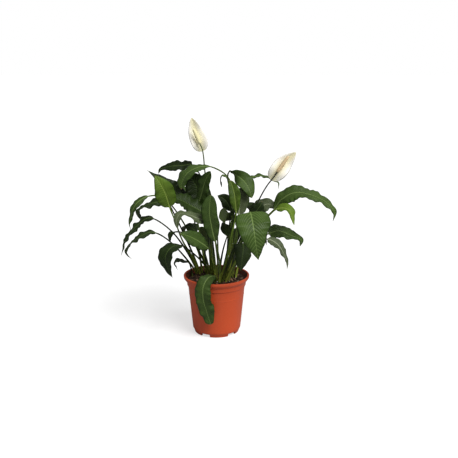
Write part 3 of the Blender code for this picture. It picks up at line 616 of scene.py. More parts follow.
# %% One crumb shape
def crumb_shape():
    """The 18 points and 32 faces of an octahedron split once and rounded."""
    axes = np.array([(1, 0, 0), (0, 1, 0), (0, 0, 1), (-1, 0, 0), (0, -1, 0), (0, 0, -1)])
    points = [tuple(map(float, axis)) for axis in axes]
    faces = []
    octants = [(x, y, z) for x in (0, 3) for y in (1, 4) for z in (2, 5)]

    def half_way(a, b):
        middle = tuple(unit(np.array(points[a]) + np.array(points[b])).tolist())
        near = [i for i, p in enumerate(points) if math.dist(p, middle) < 0.01]
        if near:
            return near[0]
        points.append(middle)
        return len(points) - 1

    for a, b, c in octants:
        ab, bc, ca = half_way(a, b), half_way(b, c), half_way(c, a)
        four = [(a, ab, ca), (ab, b, bc), (ca, bc, c), (ab, bc, ca)]
        corner = np.array([points[i] for i in (a, b, c)])
        if np.linalg.det(corner) < 0:
            four = [face[::-1] for face in four]
        faces += four
    return np.array(points), np.array(faces)


CRUMB_POINTS, CRUMB_FACES = crumb_shape()
print("crumb:", len(CRUMB_POINTS), "points,", len(CRUMB_FACES), "faces")

# %% Scatter crumbs, chips and grains


def turns(random, count):
    """Random turns: each is three square directions from two random ones."""
    first = unit(random.normal(size=(count, 3)))
    second = random.normal(size=(count, 3))
    second = unit(second - np.sum(first * second, axis=1, keepdims=True) * first)
    return np.stack([first, second, np.cross(first, second)], axis=1)


def flat_turns(random, count, tilt):
    """Turns about the upright, each leaning a little."""
    heading = random.uniform(0, 2 * math.pi, count)
    upright = np.stack([random.normal(0, tilt, count), random.normal(0, tilt, count),
                        np.ones(count)], axis=1)
    upright = unit(upright)
    along = np.stack([np.cos(heading), np.sin(heading), np.zeros(count)], axis=1)
    along = unit(along - np.sum(along * upright, axis=1, keepdims=True) * upright)
    return np.stack([along, np.cross(upright, along), upright], axis=1)


def scatter(name, count, sizes, turned_by, sunk, seed, finish, spread=0.0720):
    """Each lump is the crumb with rough points, stretched by its sizes, turned, and laid
    on the soil at a place even over the disc."""
    random = np.random.default_rng(seed)
    rough = CRUMB_POINTS * random.uniform(0.72, 1.18, (count, len(CRUMB_POINTS), 1))
    scaled = rough * sizes(random, count)[:, None, :]
    shapes = np.einsum("nij,njk->nik", scaled, turned_by(random, count))
    radius = spread * np.sqrt(random.uniform(0, 1, count))
    angle = random.uniform(0, 2 * math.pi, count)
    x, y = radius * np.cos(angle), radius * np.sin(angle)
    z = soil_height(x, y) - sunk
    points = (shapes + np.stack([x, y, z], axis=1)[:, None, :]).reshape(-1, 3)
    offsets = np.arange(count)[:, None, None] * len(CRUMB_POINTS)
    faces = (CRUMB_FACES[None] + offsets).reshape(-1, 3)
    tone = np.repeat(random.uniform(0, 1, count), len(CRUMB_POINTS))
    made = solid(name, points, np.zeros((0, 4), int), faces, finish, {"tone": tone})
    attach(made, "root")
    print(name, count, "lumps")
    return made


def lump_finish(name, dark, light, grain, specular):
    """Each lump takes its own tone between two colours, with a fine grain over it."""
    finish = Finish(name, specular_ior_level=specular)
    fine = finish.noise(grain, 4.0, 0.6)
    colour = finish.mix(finish.field("tone"), dark, light)
    shade = finish.rise(fine, 0.3, 0.7, 0.75, 0.0)
    colour = finish.mix(shade, colour, dimmed(dark, 0.45))
    finish.bump(fine, 0.0006)
    return finish.finish(colour, finish.rise(fine, 0.3, 0.7, 0.7, 0.95))


def crumb_sizes(random, count):
    base = 0.0006 + 0.0019 * random.uniform(0, 1, (count, 1)) ** 2.2
    return base * random.uniform(0.6, 1.3, (count, 3))


def chip_sizes(random, count):
    long = random.uniform(0.0030, 0.0085, count)
    return np.stack([long, long * random.uniform(0.35, 0.6, count),
                     long * random.uniform(0.14, 0.26, count)], axis=1)


def grain_sizes(random, count):
    return random.uniform(0.0008, 0.0016, (count, 1)) * random.uniform(0.8, 1.2, (count, 3))


crumb_finish = lump_finish("peat_crumb", (0.016, 0.008, 0.005), (0.105, 0.055, 0.030),
                           700.0, 0.25)
bark_finish = lump_finish("bark_chip", (0.090, 0.042, 0.022), (0.330, 0.190, 0.105),
                          380.0, 0.25)
grain_finish = lump_finish("white_grain", (0.55, 0.53, 0.49), (0.80, 0.78, 0.74),
                           900.0, 0.2)
scatter("peat_crumbs", 2600, crumb_sizes, turns, 0.0002, 21, crumb_finish)
scatter("bark_chips", 90, chip_sizes, lambda r, n: flat_turns(r, n, 0.30), -0.0006, 22,
        bark_finish, 0.0660)
scatter("white_grains", 40, grain_sizes, turns, -0.0003, 23, grain_finish, 0.0700)

# %% [markdown]
# ## The leaves
#
# A peace lily's leaf is one growth: a sheathed stalk from the crown, then a pointed
# blade with a pale midrib and many side veins that leave it steeply and curve towards
# the tip. The blade is quilted between the veins, its margin ripples, and its tip draws
# out to a fine point.
#
# Each leaf is one row of the table below: half the blade's width, how slowly it swells
# from its base, how far its tip draws out, how much its halves fold up, how strongly its
# margin ripples, its tone from dark to light, its slot, the way it faces at the base and
# at the tip, and the places its stalk and its midrib pass. Lengths are in millimetres.
# Tone and slot are partly each leaf's own green and partly painted light and shade: a
# leaf deep in the plant's shade takes a low tone, and a shaded leaf that reads light takes
# a high one.

# %% The table of leaves
# The dark slot paints shade on leaves deep in the plant, the young slot paints light shining
# through, and the underside slot paints sheen; each also holds the leaf's own green.
DARK, MID = "leaf_green_dark", "leaf_green"
BRIGHT, GREY = "leaf_green_young", "leaf_green_underside"
LEAVES = (
    ("leaf_left_bright", 26, 0.55, 0.85, 12, 0.04, 0.55, BRIGHT, (0.1, -1.0, 0.2),
     (0.1, -1.0, 0.3),
     ((-44, 34), (-62, 8, 195), (-86, -12, 246), (-102, -32, 302)),
     ((-113, -45, 338), (-122, -60, 377), (-133, -68, 402), (-145, -66, 421))),
    ("leaf_left_behind", 24, 0.62, 1.35, 15, 0.10, 0.25, DARK, (0.3, -0.8, 0.6),
     (0.0, -0.8, 0.6),
     ((-40, 43), (-50, 45, 230), (-60, 42, 295)),
     ((-69, 40, 324), (-107, 50, 360), (-145, 50, 392), (-178, 50, 416))),
    ("leaf_left_middle", 34, 0.55, 0.80, 12, 0.10, 0.60, DARK, (0.0, -0.6, 1.0),
     (-0.5, -0.6, 1.0),
     ((-15, 34), (-20, 14, 230), (-24, 4, 290)),
     ((-33, -4, 315), (-65, -12, 337), (-92, -20, 353), (-116, -28, 358))),
    ("leaf_left_grey", 18, 0.60, 0.80, 10, 0.06, 0.80, GREY, (0.0, -1.0, 0.5),
     (-0.5, -0.9, 0.3),
     ((1, -26), (4, -34, 195), (4, -38, 255), (0, -44, 300)),
     ((-18, -42, 303), (-42, -56, 313), (-66, -80, 328), (-84, -100, 334), (-91, -112, 322),
      (-89, -118, 302))),
    ("leaf_left_arching", 15, 0.62, 1.10, 10, 0.14, 0.40, DARK, (0.0, -0.8, 0.9),
     (-1.0, -0.7, 0.3),
     ((-51, 40), (-75, 15, 205), (-114, -15, 272)),
     ((-155, -15, 302), (-172, -18, 305), (-191, -22, 293), (-210, -30, 275), (-226, -40, 252),
      (-236, -50, 217))),
    ("leaf_left_low_arching", 15, 0.75, 1.30, 10, 0.12, 0.40, DARK, (0.0, -0.6, 1.0),
     (-1.0, -0.7, 0.3),
     ((-53, 30), (-82, -15, 205), (-118, -60, 260)),
     ((-143, -80, 282), (-158, -86, 286), (-174, -92, 281), (-193, -100, 270),
      (-207, -110, 258), (-213, -120, 244), (-200, -120, 229))),
    ("leaf_far_left", 13, 0.90, 1.50, 8, 0.12, 0.50, MID, (0.0, -0.9, 0.6), (-0.8, -0.9, 0.2),
     ((-39, 52), (-48, 62, 190), (-75, 64, 250), (-120, 56, 325), (-150, 52, 348)),
     ((-175, 50, 348), (-190, 46, 343), (-206, 42, 331), (-217, 40, 313), (-222, 40, 295),
      (-227, 40, 276), (-224, 40, 259))),
    ("leaf_left_curled", 17, 0.70, 0.90, 8, 0.12, 0.50, DARK, (0.1, -1.0, 0.5),
     (-0.8, -0.9, 0.2),
     ((-47, 49), (-62, 44, 190), (-85, 34, 250), (-105, 22, 300)),
     ((-129, 24, 340), (-149, 20, 339), (-169, 18, 334), (-190, 18, 325), (-199, 18, 314),
      (-198, 18, 302), (-190, 18, 290))),
    ("leaf_left_small", 9, 0.62, 1.00, 5, 0.07, 0.50, DARK, (0.0, -0.4, 1.0), (-1.0, -0.6, 0.2),
     ((-24, 26), (-45, 0, 215), (-78, -22, 265)),
     ((-101, -60, 280), (-109, -66, 279), (-113, -70, 270), (-111, -70, 255))),
    ("leaf_left_drooping", 26, 0.62, 1.00, 14, 0.06, 0.30, DARK, (-0.1, -0.4, 1.0),
     (-0.7, -0.8, 0.1),
     ((-14, 22), (-38, -10, 190), (-65, -45, 228)),
     ((-84, -75, 250), (-107, -105, 252), (-119, -120, 234), (-113, -125, 205),
      (-103, -125, 184))),
    ("leaf_left_rim", 10, 0.62, 1.00, 5, 0.14, 0.50, DARK, (0.0, -0.3, 1.0), (-1.0, -0.4, 0.2),
     ((-64, 23), (-68, 34, 158)),
     ((-74, 26, 176), (-88, 26, 180), (-104, 28, 181), (-110, 28, 172), (-103, 28, 154))),
    ("leaf_top_arching", 24, 1.00, 0.75, 12, 0.08, 0.60, MID, (0.0, -0.5, 1.0),
     (-0.6, -0.9, 0.3),
     ((36, 30), (42, 38, 250), (51, 45, 323), (45, 45, 365), (25, 45, 404)),
     ((-13, 40, 426), (-31, 34, 428), (-51, 26, 425), (-72, 14, 414), (-84, 6, 396),
      (-87, 0, 375))),
    ("leaf_top_left", 17, 0.50, 1.00, 12, 0.10, 0.20, DARK, (0.1, -0.9, 0.7), (-0.4, -0.9, 0.6),
     ((-13, 45), (-20, 64, 270), (-36, 78, 380)),
     ((-63, 80, 425), (-88, 86, 423), (-113, 90, 421), (-135, 98, 416), (-149, 100, 410),
      (-155, 100, 398))),
    ("leaf_top_hanging", 8, 0.62, 1.00, 5, 0.07, 0.50, MID, (0.0, -0.4, 1.0), (-0.8, -0.6, 0.2),
     ((30, 42), (40, 70, 300), (34, 72, 375)),
     ((25, 70, 395), (14, 70, 399), (10, 70, 387), (14, 70, 367))),
    ("leaf_centre_upright", 19, 0.70, 0.70, 14, 0.07, 0.35, MID, (-0.7, -0.7, 0.1),
     (-0.3, -1.0, 0.1),
     ((-7, 31), (-20, 25, 230), (-33, 22, 295)),
     ((-44, 23, 325), (-36, 15, 365), (-27, 9, 395), (-14, 1, 421))),
    ("leaf_centre_behind", 34, 0.50, 0.70, 12, 0.07, 0.40, DARK, (0.2, -0.8, 0.5),
     (-0.2, -0.9, 0.4),
     ((-3, 40), (-12, 42, 240), (-20, 48, 300)),
     ((-34, 50, 317), (-44, 52, 353), (-59, 50, 386), (-75, 46, 409))),
    ("leaf_front_upright", 21, 0.60, 0.50, 12, 0.07, 0.45, MID, (0.1, -1.0, 0.1),
     (0.1, -1.0, 0.2),
     ((8, -34), (10, -36, 185), (5, -45, 225)),
     ((-1, -52, 252), (-9, -58, 287), (-15, -64, 331), (-12, -64, 373))),
    ("leaf_front_left", 21, 0.70, 0.75, 12, 0.07, 0.50, MID, (-0.2, -0.8, 0.7),
     (-0.4, -0.8, 0.7),
     ((-5, 22), (-10, 8, 171), (-16, -12, 204)),
     ((-19, -42, 233), (-39, -62, 255), (-60, -82, 273), (-85, -96, 285))),
    ("leaf_over_rim", 21, 0.45, 0.42, 10, 0.12, 0.55, MID, (0.2, -0.3, 1.0), (0.0, -1.0, 0.1),
     ((-4, -35), (-1, -44, 156)),
     ((-4, -60, 166), (-18, -84, 170), (-30, -96, 152), (-31, -94, 118), (-22, -88, 80),
      (-13, -82, 46))),
    ("leaf_right_arching", 25, 0.65, 1.05, 10, 0.08, 0.75, MID, (-0.3, -1.0, 0.4),
     (0.6, -0.9, 0.2),
     ((51, 15), (62, 10, 190), (116, 5, 290)),
     ((145, 0, 322), (165, -10, 352), (198, -20, 371), (237, -30, 366), (272, -30, 349),
      (295, -30, 322), (291, -30, 299))),
    ("leaf_right_young", 19, 0.70, 0.90, 16, 0.05, 0.90, BRIGHT, (0.0, -0.7, 0.8),
     (1.0, -0.6, 0.2),
     ((50, 5), (62, 5, 195), (105, -8, 270), (135, -20, 315)),
     ((149, -30, 330), (165, -40, 336), (181, -55, 332), (191, -70, 299))),
    ("leaf_right_sheen", 25, 0.50, 0.95, 14, 0.05, 0.50, MID, (-0.2, -0.8, 0.8),
     (0.7, -0.7, 0.6),
     ((29, -16), (50, -12, 188), (101, -10, 246)),
     ((131, -10, 262), (159, -10, 270), (189, -10, 259), (216, -10, 246), (213, -10, 229))),
    ("leaf_right_pale", 17, 0.50, 1.10, 14, 0.07, 0.50, GREY, (0.1, -0.6, 1.0),
     (1.0, -0.6, 0.2),
     ((31, -25), (55, -32, 194), (99, -50, 244)),
     ((126, -60, 262), (147, -70, 255), (163, -80, 237), (175, -80, 207), (175, -80, 190))),
    ("leaf_front_broad", 42, 0.30, 1.05, 8, 0.05, 0.75, MID, (0.0, -0.5, 1.0), (0.1, -1.0, 0.2),
     ((24, -31), (48, -40, 199), (70, -62, 276), (76, -88, 322)),
     ((82, -112, 341), (86, -136, 330), (90, -156, 307), (95, -160, 272), (101, -150, 235))),
    ("leaf_top_right", 21, 0.60, 0.70, 12, 0.08, 0.80, MID, (0.2, -0.8, 0.5), (0.3, -1.0, 0.2),
     ((35, 19), (35, 10, 267), (46, 12, 332), (29, 8, 400)),
     ((33, 2, 420), (50, -9, 413), (68, -20, 401), (82, -28, 381), (89, -30, 359))),
    ("leaf_right_veined", 24, 0.50, 0.55, 10, 0.05, 0.90, GREY, (0.2, -1.0, 0.0),
     (0.2, -1.0, 0.2),
     ((19, -22), (35, -28, 200), (48, -27, 262)),
     ((57, -19, 315), (59, -18, 341), (61, -16, 364), (65, -13, 381))),
    ("leaf_right_narrow", 15, 0.70, 0.55, 16, 0.07, 0.30, BRIGHT, (-0.2, -1.0, 0.1),
     (-0.3, -1.0, 0.2),
     ((10, -22), (26, -32, 200), (37, -44, 262)),
     ((50, -48, 326), (48, -52, 356), (44, -50, 381), (36, -44, 405))),
    ("leaf_right_behind", 21, 0.62, 1.00, 12, 0.07, 0.50, GREY, (0.0, -1.0, 0.6),
     (0.5, -0.9, 0.5),
     ((42, 12), (62, 22, 230), (88, 22, 295)),
     ((99, 20, 310), (117, 20, 328), (136, 20, 333), (153, 20, 320))),
    ("leaf_right_round", 17, 0.62, 0.80, 10, 0.07, 0.20, DARK, (0.2, -1.0, 0.3),
     (0.2, -1.0, 0.3),
     ((21, -12), (45, -25, 220), (72, -40, 275)),
     ((89, -50, 308), (99, -58, 331), (108, -61, 346), (113, -58, 356))),
    ("leaf_back_wavy", 11, 1.00, 1.10, 10, 0.14, 0.50, MID, (0.1, -0.5, 1.0), (0.8, -0.6, 0.3),
     ((44, 23), (56, 50, 280), (62, 66, 350)),
     ((69, 70, 392), (93, 80, 393), (119, 90, 395), (138, 90, 390), (154, 90, 381),
      (163, 90, 375), (164, 90, 359))),
    ("leaf_right_hanging", 24, 0.35, 0.90, 12, 0.07, 0.50, DARK, (0.2, -0.6, 1.0),
     (0.2, -1.0, 0.0),
     ((16, -34), (32, -42, 197), (44, -52, 235)),
     ((66, -66, 252), (67, -80, 243), (65, -90, 225), (61, -96, 191))),
    ("leaf_centre_pointed", 17, 0.62, 0.90, 14, 0.07, 0.50, DARK, (-0.3, -0.8, 0.6),
     (-0.5, -0.8, 0.4),
     ((27, 22), (30, 28, 240), (35, 28, 290)),
     ((37, 26, 312), (31, 24, 331), (20, 24, 346), (3, 22, 355))),
    ("leaf_centre_drooping", 23, 0.60, 0.80, 12, 0.07, 0.50, DARK, (-0.2, -0.7, 1.0),
     (-0.6, -1.0, 0.0),
     ((12, -13), (30, -20, 230), (42, -24, 295)),
     ((45, -26, 316), (31, -30, 320), (22, -35, 300), (29, -38, 262))),
    ("leaf_centre_low", 18, 0.60, 0.80, 12, 0.07, 0.50, DARK, (-0.2, -0.8, 0.8),
     (-0.4, -0.8, 0.6),
     ((-28, 40), (-30, 30, 200), (-32, 22, 240)),
     ((-41, 16, 239), (-52, 10, 262), (-67, 4, 276), (-81, 0, 280))),
    ("leaf_back_left_high", 24, 0.62, 1.10, 12, 0.07, 0.50, MID, (-0.2, 0.5, 1.0),
     (-0.5, 0.9, 0.3),
     ((-30, 53), (-45, 85, 230), (-60, 120, 300)),
     ((-70, 140, 330), (-85, 175, 350), (-100, 205, 335), (-110, 230, 290))),
    ("leaf_back_middle", 24, 0.62, 0.90, 12, 0.07, 0.50, MID, (0.0, 0.5, 1.0), (0.0, 1.0, 0.3),
     ((-6, 50), (-12, 78, 195), (-19, 104, 230)),
     ((-23, 118, 242), (-27, 142, 240), (-31, 162, 212), (-32, 170, 165))),
    ("leaf_back_right_high", 25, 0.62, 1.10, 12, 0.07, 0.50, DARK, (0.2, 0.5, 1.0),
     (0.5, 0.9, 0.3),
     ((38, 44), (50, 80, 225), (62, 110, 275)),
     ((67, 130, 296), (80, 165, 308), (95, 195, 290), (105, 215, 250))),
    ("leaf_back_right_low", 22, 0.62, 1.10, 12, 0.07, 0.50, MID, (0.4, 0.4, 1.0),
     (0.9, 0.6, 0.2),
     ((53, 33), (62, 52, 185), (78, 78, 218)),
     ((86, 90, 230), (106, 118, 240), (126, 142, 224), (138, 158, 186))),
    ("leaf_back_left_low", 19, 0.62, 1.10, 12, 0.07, 0.50, DARK, (-0.4, 0.5, 1.0),
     (-0.9, 0.7, 0.2),
     ((-21, 61), (-35, 85, 190), (-50, 105, 225)),
     ((-56, 115, 236), (-74, 140, 248), (-90, 165, 238), (-98, 185, 208))),
    ("leaf_back_low", 21, 0.62, 1.10, 12, 0.07, 0.50, DARK, (0.0, 0.5, 1.0), (0.1, 1.0, 0.2),
     ((8, 58), (16, 90, 190), (28, 125, 222)),
     ((34, 140, 230), (42, 170, 230), (48, 195, 205), (50, 208, 165))),
)
print("leaves:", len(LEAVES))

# %% [markdown]
# A leaf's ring is worked out for all rings and all points at once. On the stalk it is a
# circle with a groove on top and two thin wings, the sheath, that fade towards the
# blade. On the blade it is a folded strip with two skins half a millimetre apart. Near
# the blade's base one turns into the other.

# %% The shape of a leaf
FOOT_STALK, TOP_STALK = 0.0027, 0.0016
ROOTED, ABOVE_SOIL = 0.0100, 0.0020
SKIN = 0.00055
HALF_COLUMNS = 27
STALK_ROWS = 34
BLADE_ROWS = 120
VEIN_STEP = 0.24
QUILT = 0.020
UNEVEN = 0.05
MARGIN = 0.999

even = np.linspace(-1, 1, HALF_COLUMNS)
u_top = np.sign(even) * np.abs(even) ** 1.4
U = np.concatenate([u_top, u_top[-2:0:-1]])
UPPER = np.concatenate([np.ones(HALF_COLUMNS), np.zeros(HALF_COLUMNS - 2)])
THETA = np.concatenate([math.pi * (1 - (even + 1) / 2),
                        -math.pi * (1 - (even[-2:0:-1] + 1) / 2)])


def smooth_step(value, start, end):
    """0 before start and 1 after end, with 3t^2 - 2t^3 between."""
    t = np.clip((value - start) / (end - start), 0, 1)
    return t * t * (3 - 2 * t)


def outline(s, swell, draw):
    """Half the width along the midrib: s^swell (1-s)^draw, with its peak at one."""
    peak = swell / (swell + draw)
    return s ** swell * (1 - s) ** draw / (peak ** swell * (1 - peak) ** draw)


def ring_fields(x, edge, share, vein):
    """The numbers that a finish reads at each point: how far across, how near the margin,
    how far along, where among the veins, and which skin."""
    fields = {"across": np.abs(x), "edge": edge, "share": share, "vein": vein,
              "upper": UPPER[None, :]}
    return {key: np.broadcast_to(values, x.shape) for key, values in fields.items()}


def stalk_sections(radius, share):
    """Round sections: two wings on the upper sides and a groove between them, all
    fading from the foot (share 0) to the blade (share 1)."""
    wing = 0.28 * (1 - smooth_step(share, 0.25, 0.80)) * smooth_step(share, 0.0, 0.10)
    degrees = np.degrees(THETA)[None, :]
    wings = np.exp(-((degrees - 38) / 15) ** 2) + np.exp(-((degrees - 142) / 15) ** 2)
    groove = np.exp(-((degrees - 90) / 30) ** 2)
    swell = 0.16 * np.exp(-((share - 0.95) / 0.045) ** 2)
    size = radius * (1 + swell + wing * wings - (0.12 + 0.45 * wing) * groove)
    return size * np.cos(THETA), size * np.sin(THETA)


def vein_count(x, along, half_width):
    """Side veins, counted along the blade: a vein starts at the midrib and gains
    distance along the blade as 0.8 x + 1.2 w (x/w)^2.3, so it curves to the tip. A broad
    leaf has its veins further apart: one to every 0.24 w along the midrib."""
    reach = 0.8 * np.abs(x) + 1.2 * half_width * (np.abs(x) / half_width) ** 2.3
    return (along - reach) / (VEIN_STEP * half_width)


print("columns:", len(U), "rows:", STALK_ROWS + BLADE_ROWS)


# %% The blade's relief
def blade_sections(s, length, half_width, swell, draw, fold, ripple, random):
    """Crosswise and upward places of every point: the two halves fold up from the
    midrib and sink again to the margin, the margin ripples, the skin is quilted between
    the veins, and a rib runs underneath."""
    s_col = s[:, None]
    side = np.sign(U)[None, :]
    reach = np.abs(U)[None, :]
    width = np.maximum(half_width * outline(s, swell, draw), 0.0004)
    width = np.maximum(width, TOP_STALK * (1 - smooth_step(s, 0.0, 0.06)))[:, None]
    waves = ripple_waves(s_col, side, length, random)
    lean = np.sin(2 * math.pi * (1.4 * s_col + 0.3 * side) + waves[2])
    margin = width * (1 + 0.55 * ripple * waves[1] + UNEVEN * lean)
    x = margin * U[None, :] * math.cos(fold)
    along = s_col * length
    count = vein_count(margin * U[None, :], along, half_width)
    lift = width * math.sin(fold) * (np.sqrt(reach ** 2 + 0.02) - math.sqrt(0.02))
    droop = -0.16 * width * reach ** 3
    frill = 1.5 * ripple * width * reach ** 2.2 * waves[0] * smooth_step(s_col, 0.02, 0.2)
    bay = np.sqrt(np.sin(math.pi * count) ** 2 + 0.04) - 0.6
    room = smooth_step(np.abs(x), 0.0008, 0.004) * (1 - reach ** 6)
    room = room * smooth_step(width, 0.004, 0.012)
    quilt = QUILT * half_width * bay * room
    rib_size = TOP_STALK * (1 - s_col) ** 0.7 + 0.0002
    rib = 1.25 * rib_size * np.exp(-(x / (0.95 * rib_size)) ** 2)
    groove = -0.35 * rib_size * np.exp(-(x / (0.8 * rib_size)) ** 2)
    middle = lift + droop + frill + quilt
    z = middle + np.where(UPPER > 0, SKIN / 2 + groove, -SKIN / 2 - rib)
    z = np.where(reach > MARGIN, middle, z)
    return x, z, ring_fields(x, reach, s_col, count)


def ripple_waves(s_col, side, length, random):
    """Two uneven waves along each margin, out of step on its two sides."""
    start = random.uniform(0, 2 * math.pi, 6)
    pace = length / 0.040 * random.uniform(0.85, 1.15)
    drift = 1.6 * np.sin(2 * math.pi * s_col * 1.3 + start[0] + start[5] * side)
    wave = (np.sin(2 * math.pi * pace * s_col + drift + start[1] * side)
            + 0.4 * np.sin(2 * math.pi * 2.3 * pace * s_col + start[2] * side - drift))
    edge = np.sin(2 * math.pi * 0.8 * pace * s_col + start[3] + start[4] * side)
    return wave, edge, start[4]


print("blade relief ready")


# %% Make one leaf
def leaf_points(stalk, midrib, s):
    """The foot in the soil, then even steps up the stalk, then the midrib."""
    foot = stalk[0]
    knots = [(*foot, SOIL_TOP - ROOTED), (*foot, SOIL_TOP + ABOVE_SOIL)]
    knots += list(stalk[1:])
    split = len(knots) * CURVE_STEPS
    curve = smooth_path(knots + list(midrib))
    shares = np.linspace(0, 1, STALK_ROWS, endpoint=False)
    on_stalk, _ = walked(curve, 0, split, shares)
    on_blade, length = walked(curve, split, len(curve) - 1, s)
    return np.vstack([on_stalk, on_blade]), length


def make_leaf(number, row, finishes):
    """Stalk sections and blade sections along one path, as one closed skin."""
    name, half_width, swell, draw, fold, ripple, tone, slot = row[:8]
    face_base, face_tip, stalk, midrib = row[8:]
    half_width, stalk, midrib = half_width / PER_METRE, metres(stalk), metres(midrib)
    random = np.random.default_rng(100 + number)
    s = np.linspace(0, 1, BLADE_ROWS) ** 1.1
    points, length = leaf_points(stalk, midrib, s)
    across, up = side_and_up(points, STALK_ROWS, face_base, face_tip)
    share = np.linspace(0, 1, STALK_ROWS, endpoint=False)[:, None]
    radius = FOOT_STALK + (TOP_STALK - FOOT_STALK) * share
    stalk_x, stalk_z = stalk_sections(radius, share)
    top_x, top_z = stalk_sections(np.full((1, 1), TOP_STALK), np.ones((1, 1)))
    blade_x, blade_z, fields = blade_sections(s, length, half_width, swell, draw,
                                              math.radians(fold), ripple, random)
    blend = (1 - smooth_step(s, 0.0, 0.05))[:, None]
    blade_x = blade_x * (1 - blend) + top_x * blend
    blade_z = blade_z * (1 - blend) + top_z * blend
    x = np.concatenate([stalk_x, blade_x])
    z = np.concatenate([stalk_z, blade_z])
    rings = swept(points, x, z, across, up)
    stalk_fields = ring_fields(stalk_x, 0.0, share - 1, 0.0)
    joined = {key: np.concatenate([stalk_fields[key], fields[key]]) for key in fields}
    # The tone is partly the leaf's own green and partly painted light and shade.
    joined["tone"] = np.full(x.shape, tone)
    made = ring_solid(name.replace("leaf_", "blade_"), rings, finishes[slot], joined)
    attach(made, "root")
    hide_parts(name)
    return made


# %% [markdown]
# ## The green of the leaves
#
# The upper side is deep green and half glossy, lighter along the midrib and faintly
# along the veins; the underside is paler and duller. The stalk is yellow-green at its
# sheathed foot and greener above. All of it follows the leaf's own growth, so the finish
# reads the numbers that the surface carries: how far along, how far across, which skin.


# %% Leaf finishes
def leaf_finish(name, deep, light, vein, back, foot, stem, gloss):
    """Two greens by tone and broad noise; veins, midrib, margin, back, and the foot and
    stem of the stalk by the leaf's own fields; quilting and pores as small relief."""
    finish = Finish(name, specular_ior_level=0.15)
    share, edge = finish.field("share"), finish.field("edge")
    across, count = finish.field("across"), finish.field("vein")
    upper, tone = finish.field("upper"), finish.field("tone")
    broad = finish.noise(28.0, 3.0)
    fine = finish.noise(520.0, 2.0)
    # The tone darkens leaves that sit in shade and lightens shaded leaves: painted shade and
    # light as well as the leaf's own green.
    shade = finish.math("ADD", tone, finish.rise(broad, 0.3, 0.7, -0.22, 0.22), clamp=True)
    colour = finish.mix(shade, deep, light)
    wave = finish.ridges(count)
    line = finish.rise(wave, 0.45, 0.0, 0.0, 0.70)
    small = finish.rise(finish.ridges(count, 3.0), 0.5, 0.0, 0.0, 0.16)
    on_blade = finish.rise(edge, 0.98, 0.55)
    veins = finish.times(finish.math("MAXIMUM", line, small), on_blade)
    colour = finish.mix(veins, colour, vein)
    rib_width = finish.rise(share, 0.0, 1.0, 0.0016, 0.0004)
    rib = finish.rise(finish.math("DIVIDE", across, rib_width), 1.3, 0.5, 0.0, 0.85)
    colour = finish.mix(rib, colour, vein)
    colour = finish.mix(finish.rise(edge, 0.955, 1.0, 0.0, 0.6), colour,
                        dimmed(deep, 0.5))
    behind = finish.math("SUBTRACT", 1.0, upper)
    colour = finish.mix(finish.times(behind, 0.8), colour, back)
    dry = finish.rise(finish.math("ADD", share, finish.rise(broad, 0.3, 0.7, -0.015, 0.015)),
                      0.975, 0.995, 0.0, 0.8)
    colour = finish.mix(dry, colour, (0.13, 0.085, 0.035))
    stem = finish.mix(finish.rise(share, -1.0, -0.60), foot, stem)
    stem = finish.mix(finish.rise(finish.noise(160.0, 3.0), 0.4, 0.7, 0.0, 0.35), stem, deep)
    colour = finish.mix(finish.rise(share, 0.015, -0.02), colour, stem)
    rough = finish.rise(broad, 0.3, 0.7, gloss, gloss + 0.10)
    rough = finish.math("ADD", rough, finish.times(behind, 0.16))
    quilted = finish.times(finish.times(wave, on_blade), 0.7)
    relief = finish.math("ADD", quilted, finish.times(fine, 0.25))
    finish.bump(relief, 0.00060, 0.9)
    return finish.finish(colour, rough)


leaf_finishes = {
    # Dark: partly the leaves' own deep green and partly painted shade for leaves deep in the
    # plant.
    DARK: leaf_finish(DARK, (0.003, 0.008, 0.001), (0.018, 0.036, 0.005),
                      (0.060, 0.095, 0.024), (0.034, 0.048, 0.013),
                      (0.150, 0.190, 0.026), (0.014, 0.025, 0.004), 0.40),
    MID: leaf_finish(MID, (0.009, 0.023, 0.003), (0.042, 0.080, 0.012),
                     (0.145, 0.210, 0.060), (0.056, 0.080, 0.022),
                     (0.300, 0.350, 0.050), (0.070, 0.110, 0.016), 0.40),
    # Young: partly the lighter green of young leaves and partly painted light shining through
    # them.
    BRIGHT: leaf_finish(BRIGHT, (0.026, 0.058, 0.005), (0.088, 0.155, 0.012),
                        (0.230, 0.310, 0.060), (0.120, 0.180, 0.035),
                        (0.300, 0.360, 0.050), (0.100, 0.155, 0.018), 0.42),
    # Underside: partly the paler underside and partly painted sheen on a grey-green.
    GREY: leaf_finish(GREY, (0.020, 0.032, 0.010), (0.064, 0.088, 0.034),
                      (0.270, 0.300, 0.190), (0.070, 0.090, 0.040),
                      (0.260, 0.300, 0.050), (0.045, 0.068, 0.014), 0.36),
}

# %% Grow the leaves
blades = [make_leaf(number, row, leaf_finishes) for number, row in enumerate(LEAVES)]
print("blades:", len(blades), "faces each:", len(blades[0].data.polygons))

# %% [markdown]
# ## The flowers
#
# A flower stands on its own long stalk. The white hood, the spathe, is a leaf turned
# cream: cupped, with a pointed tip and faint veins from base to tip. In front of it
# stands the spadix, a club packed with tiny blunt florets in crossing spirals.

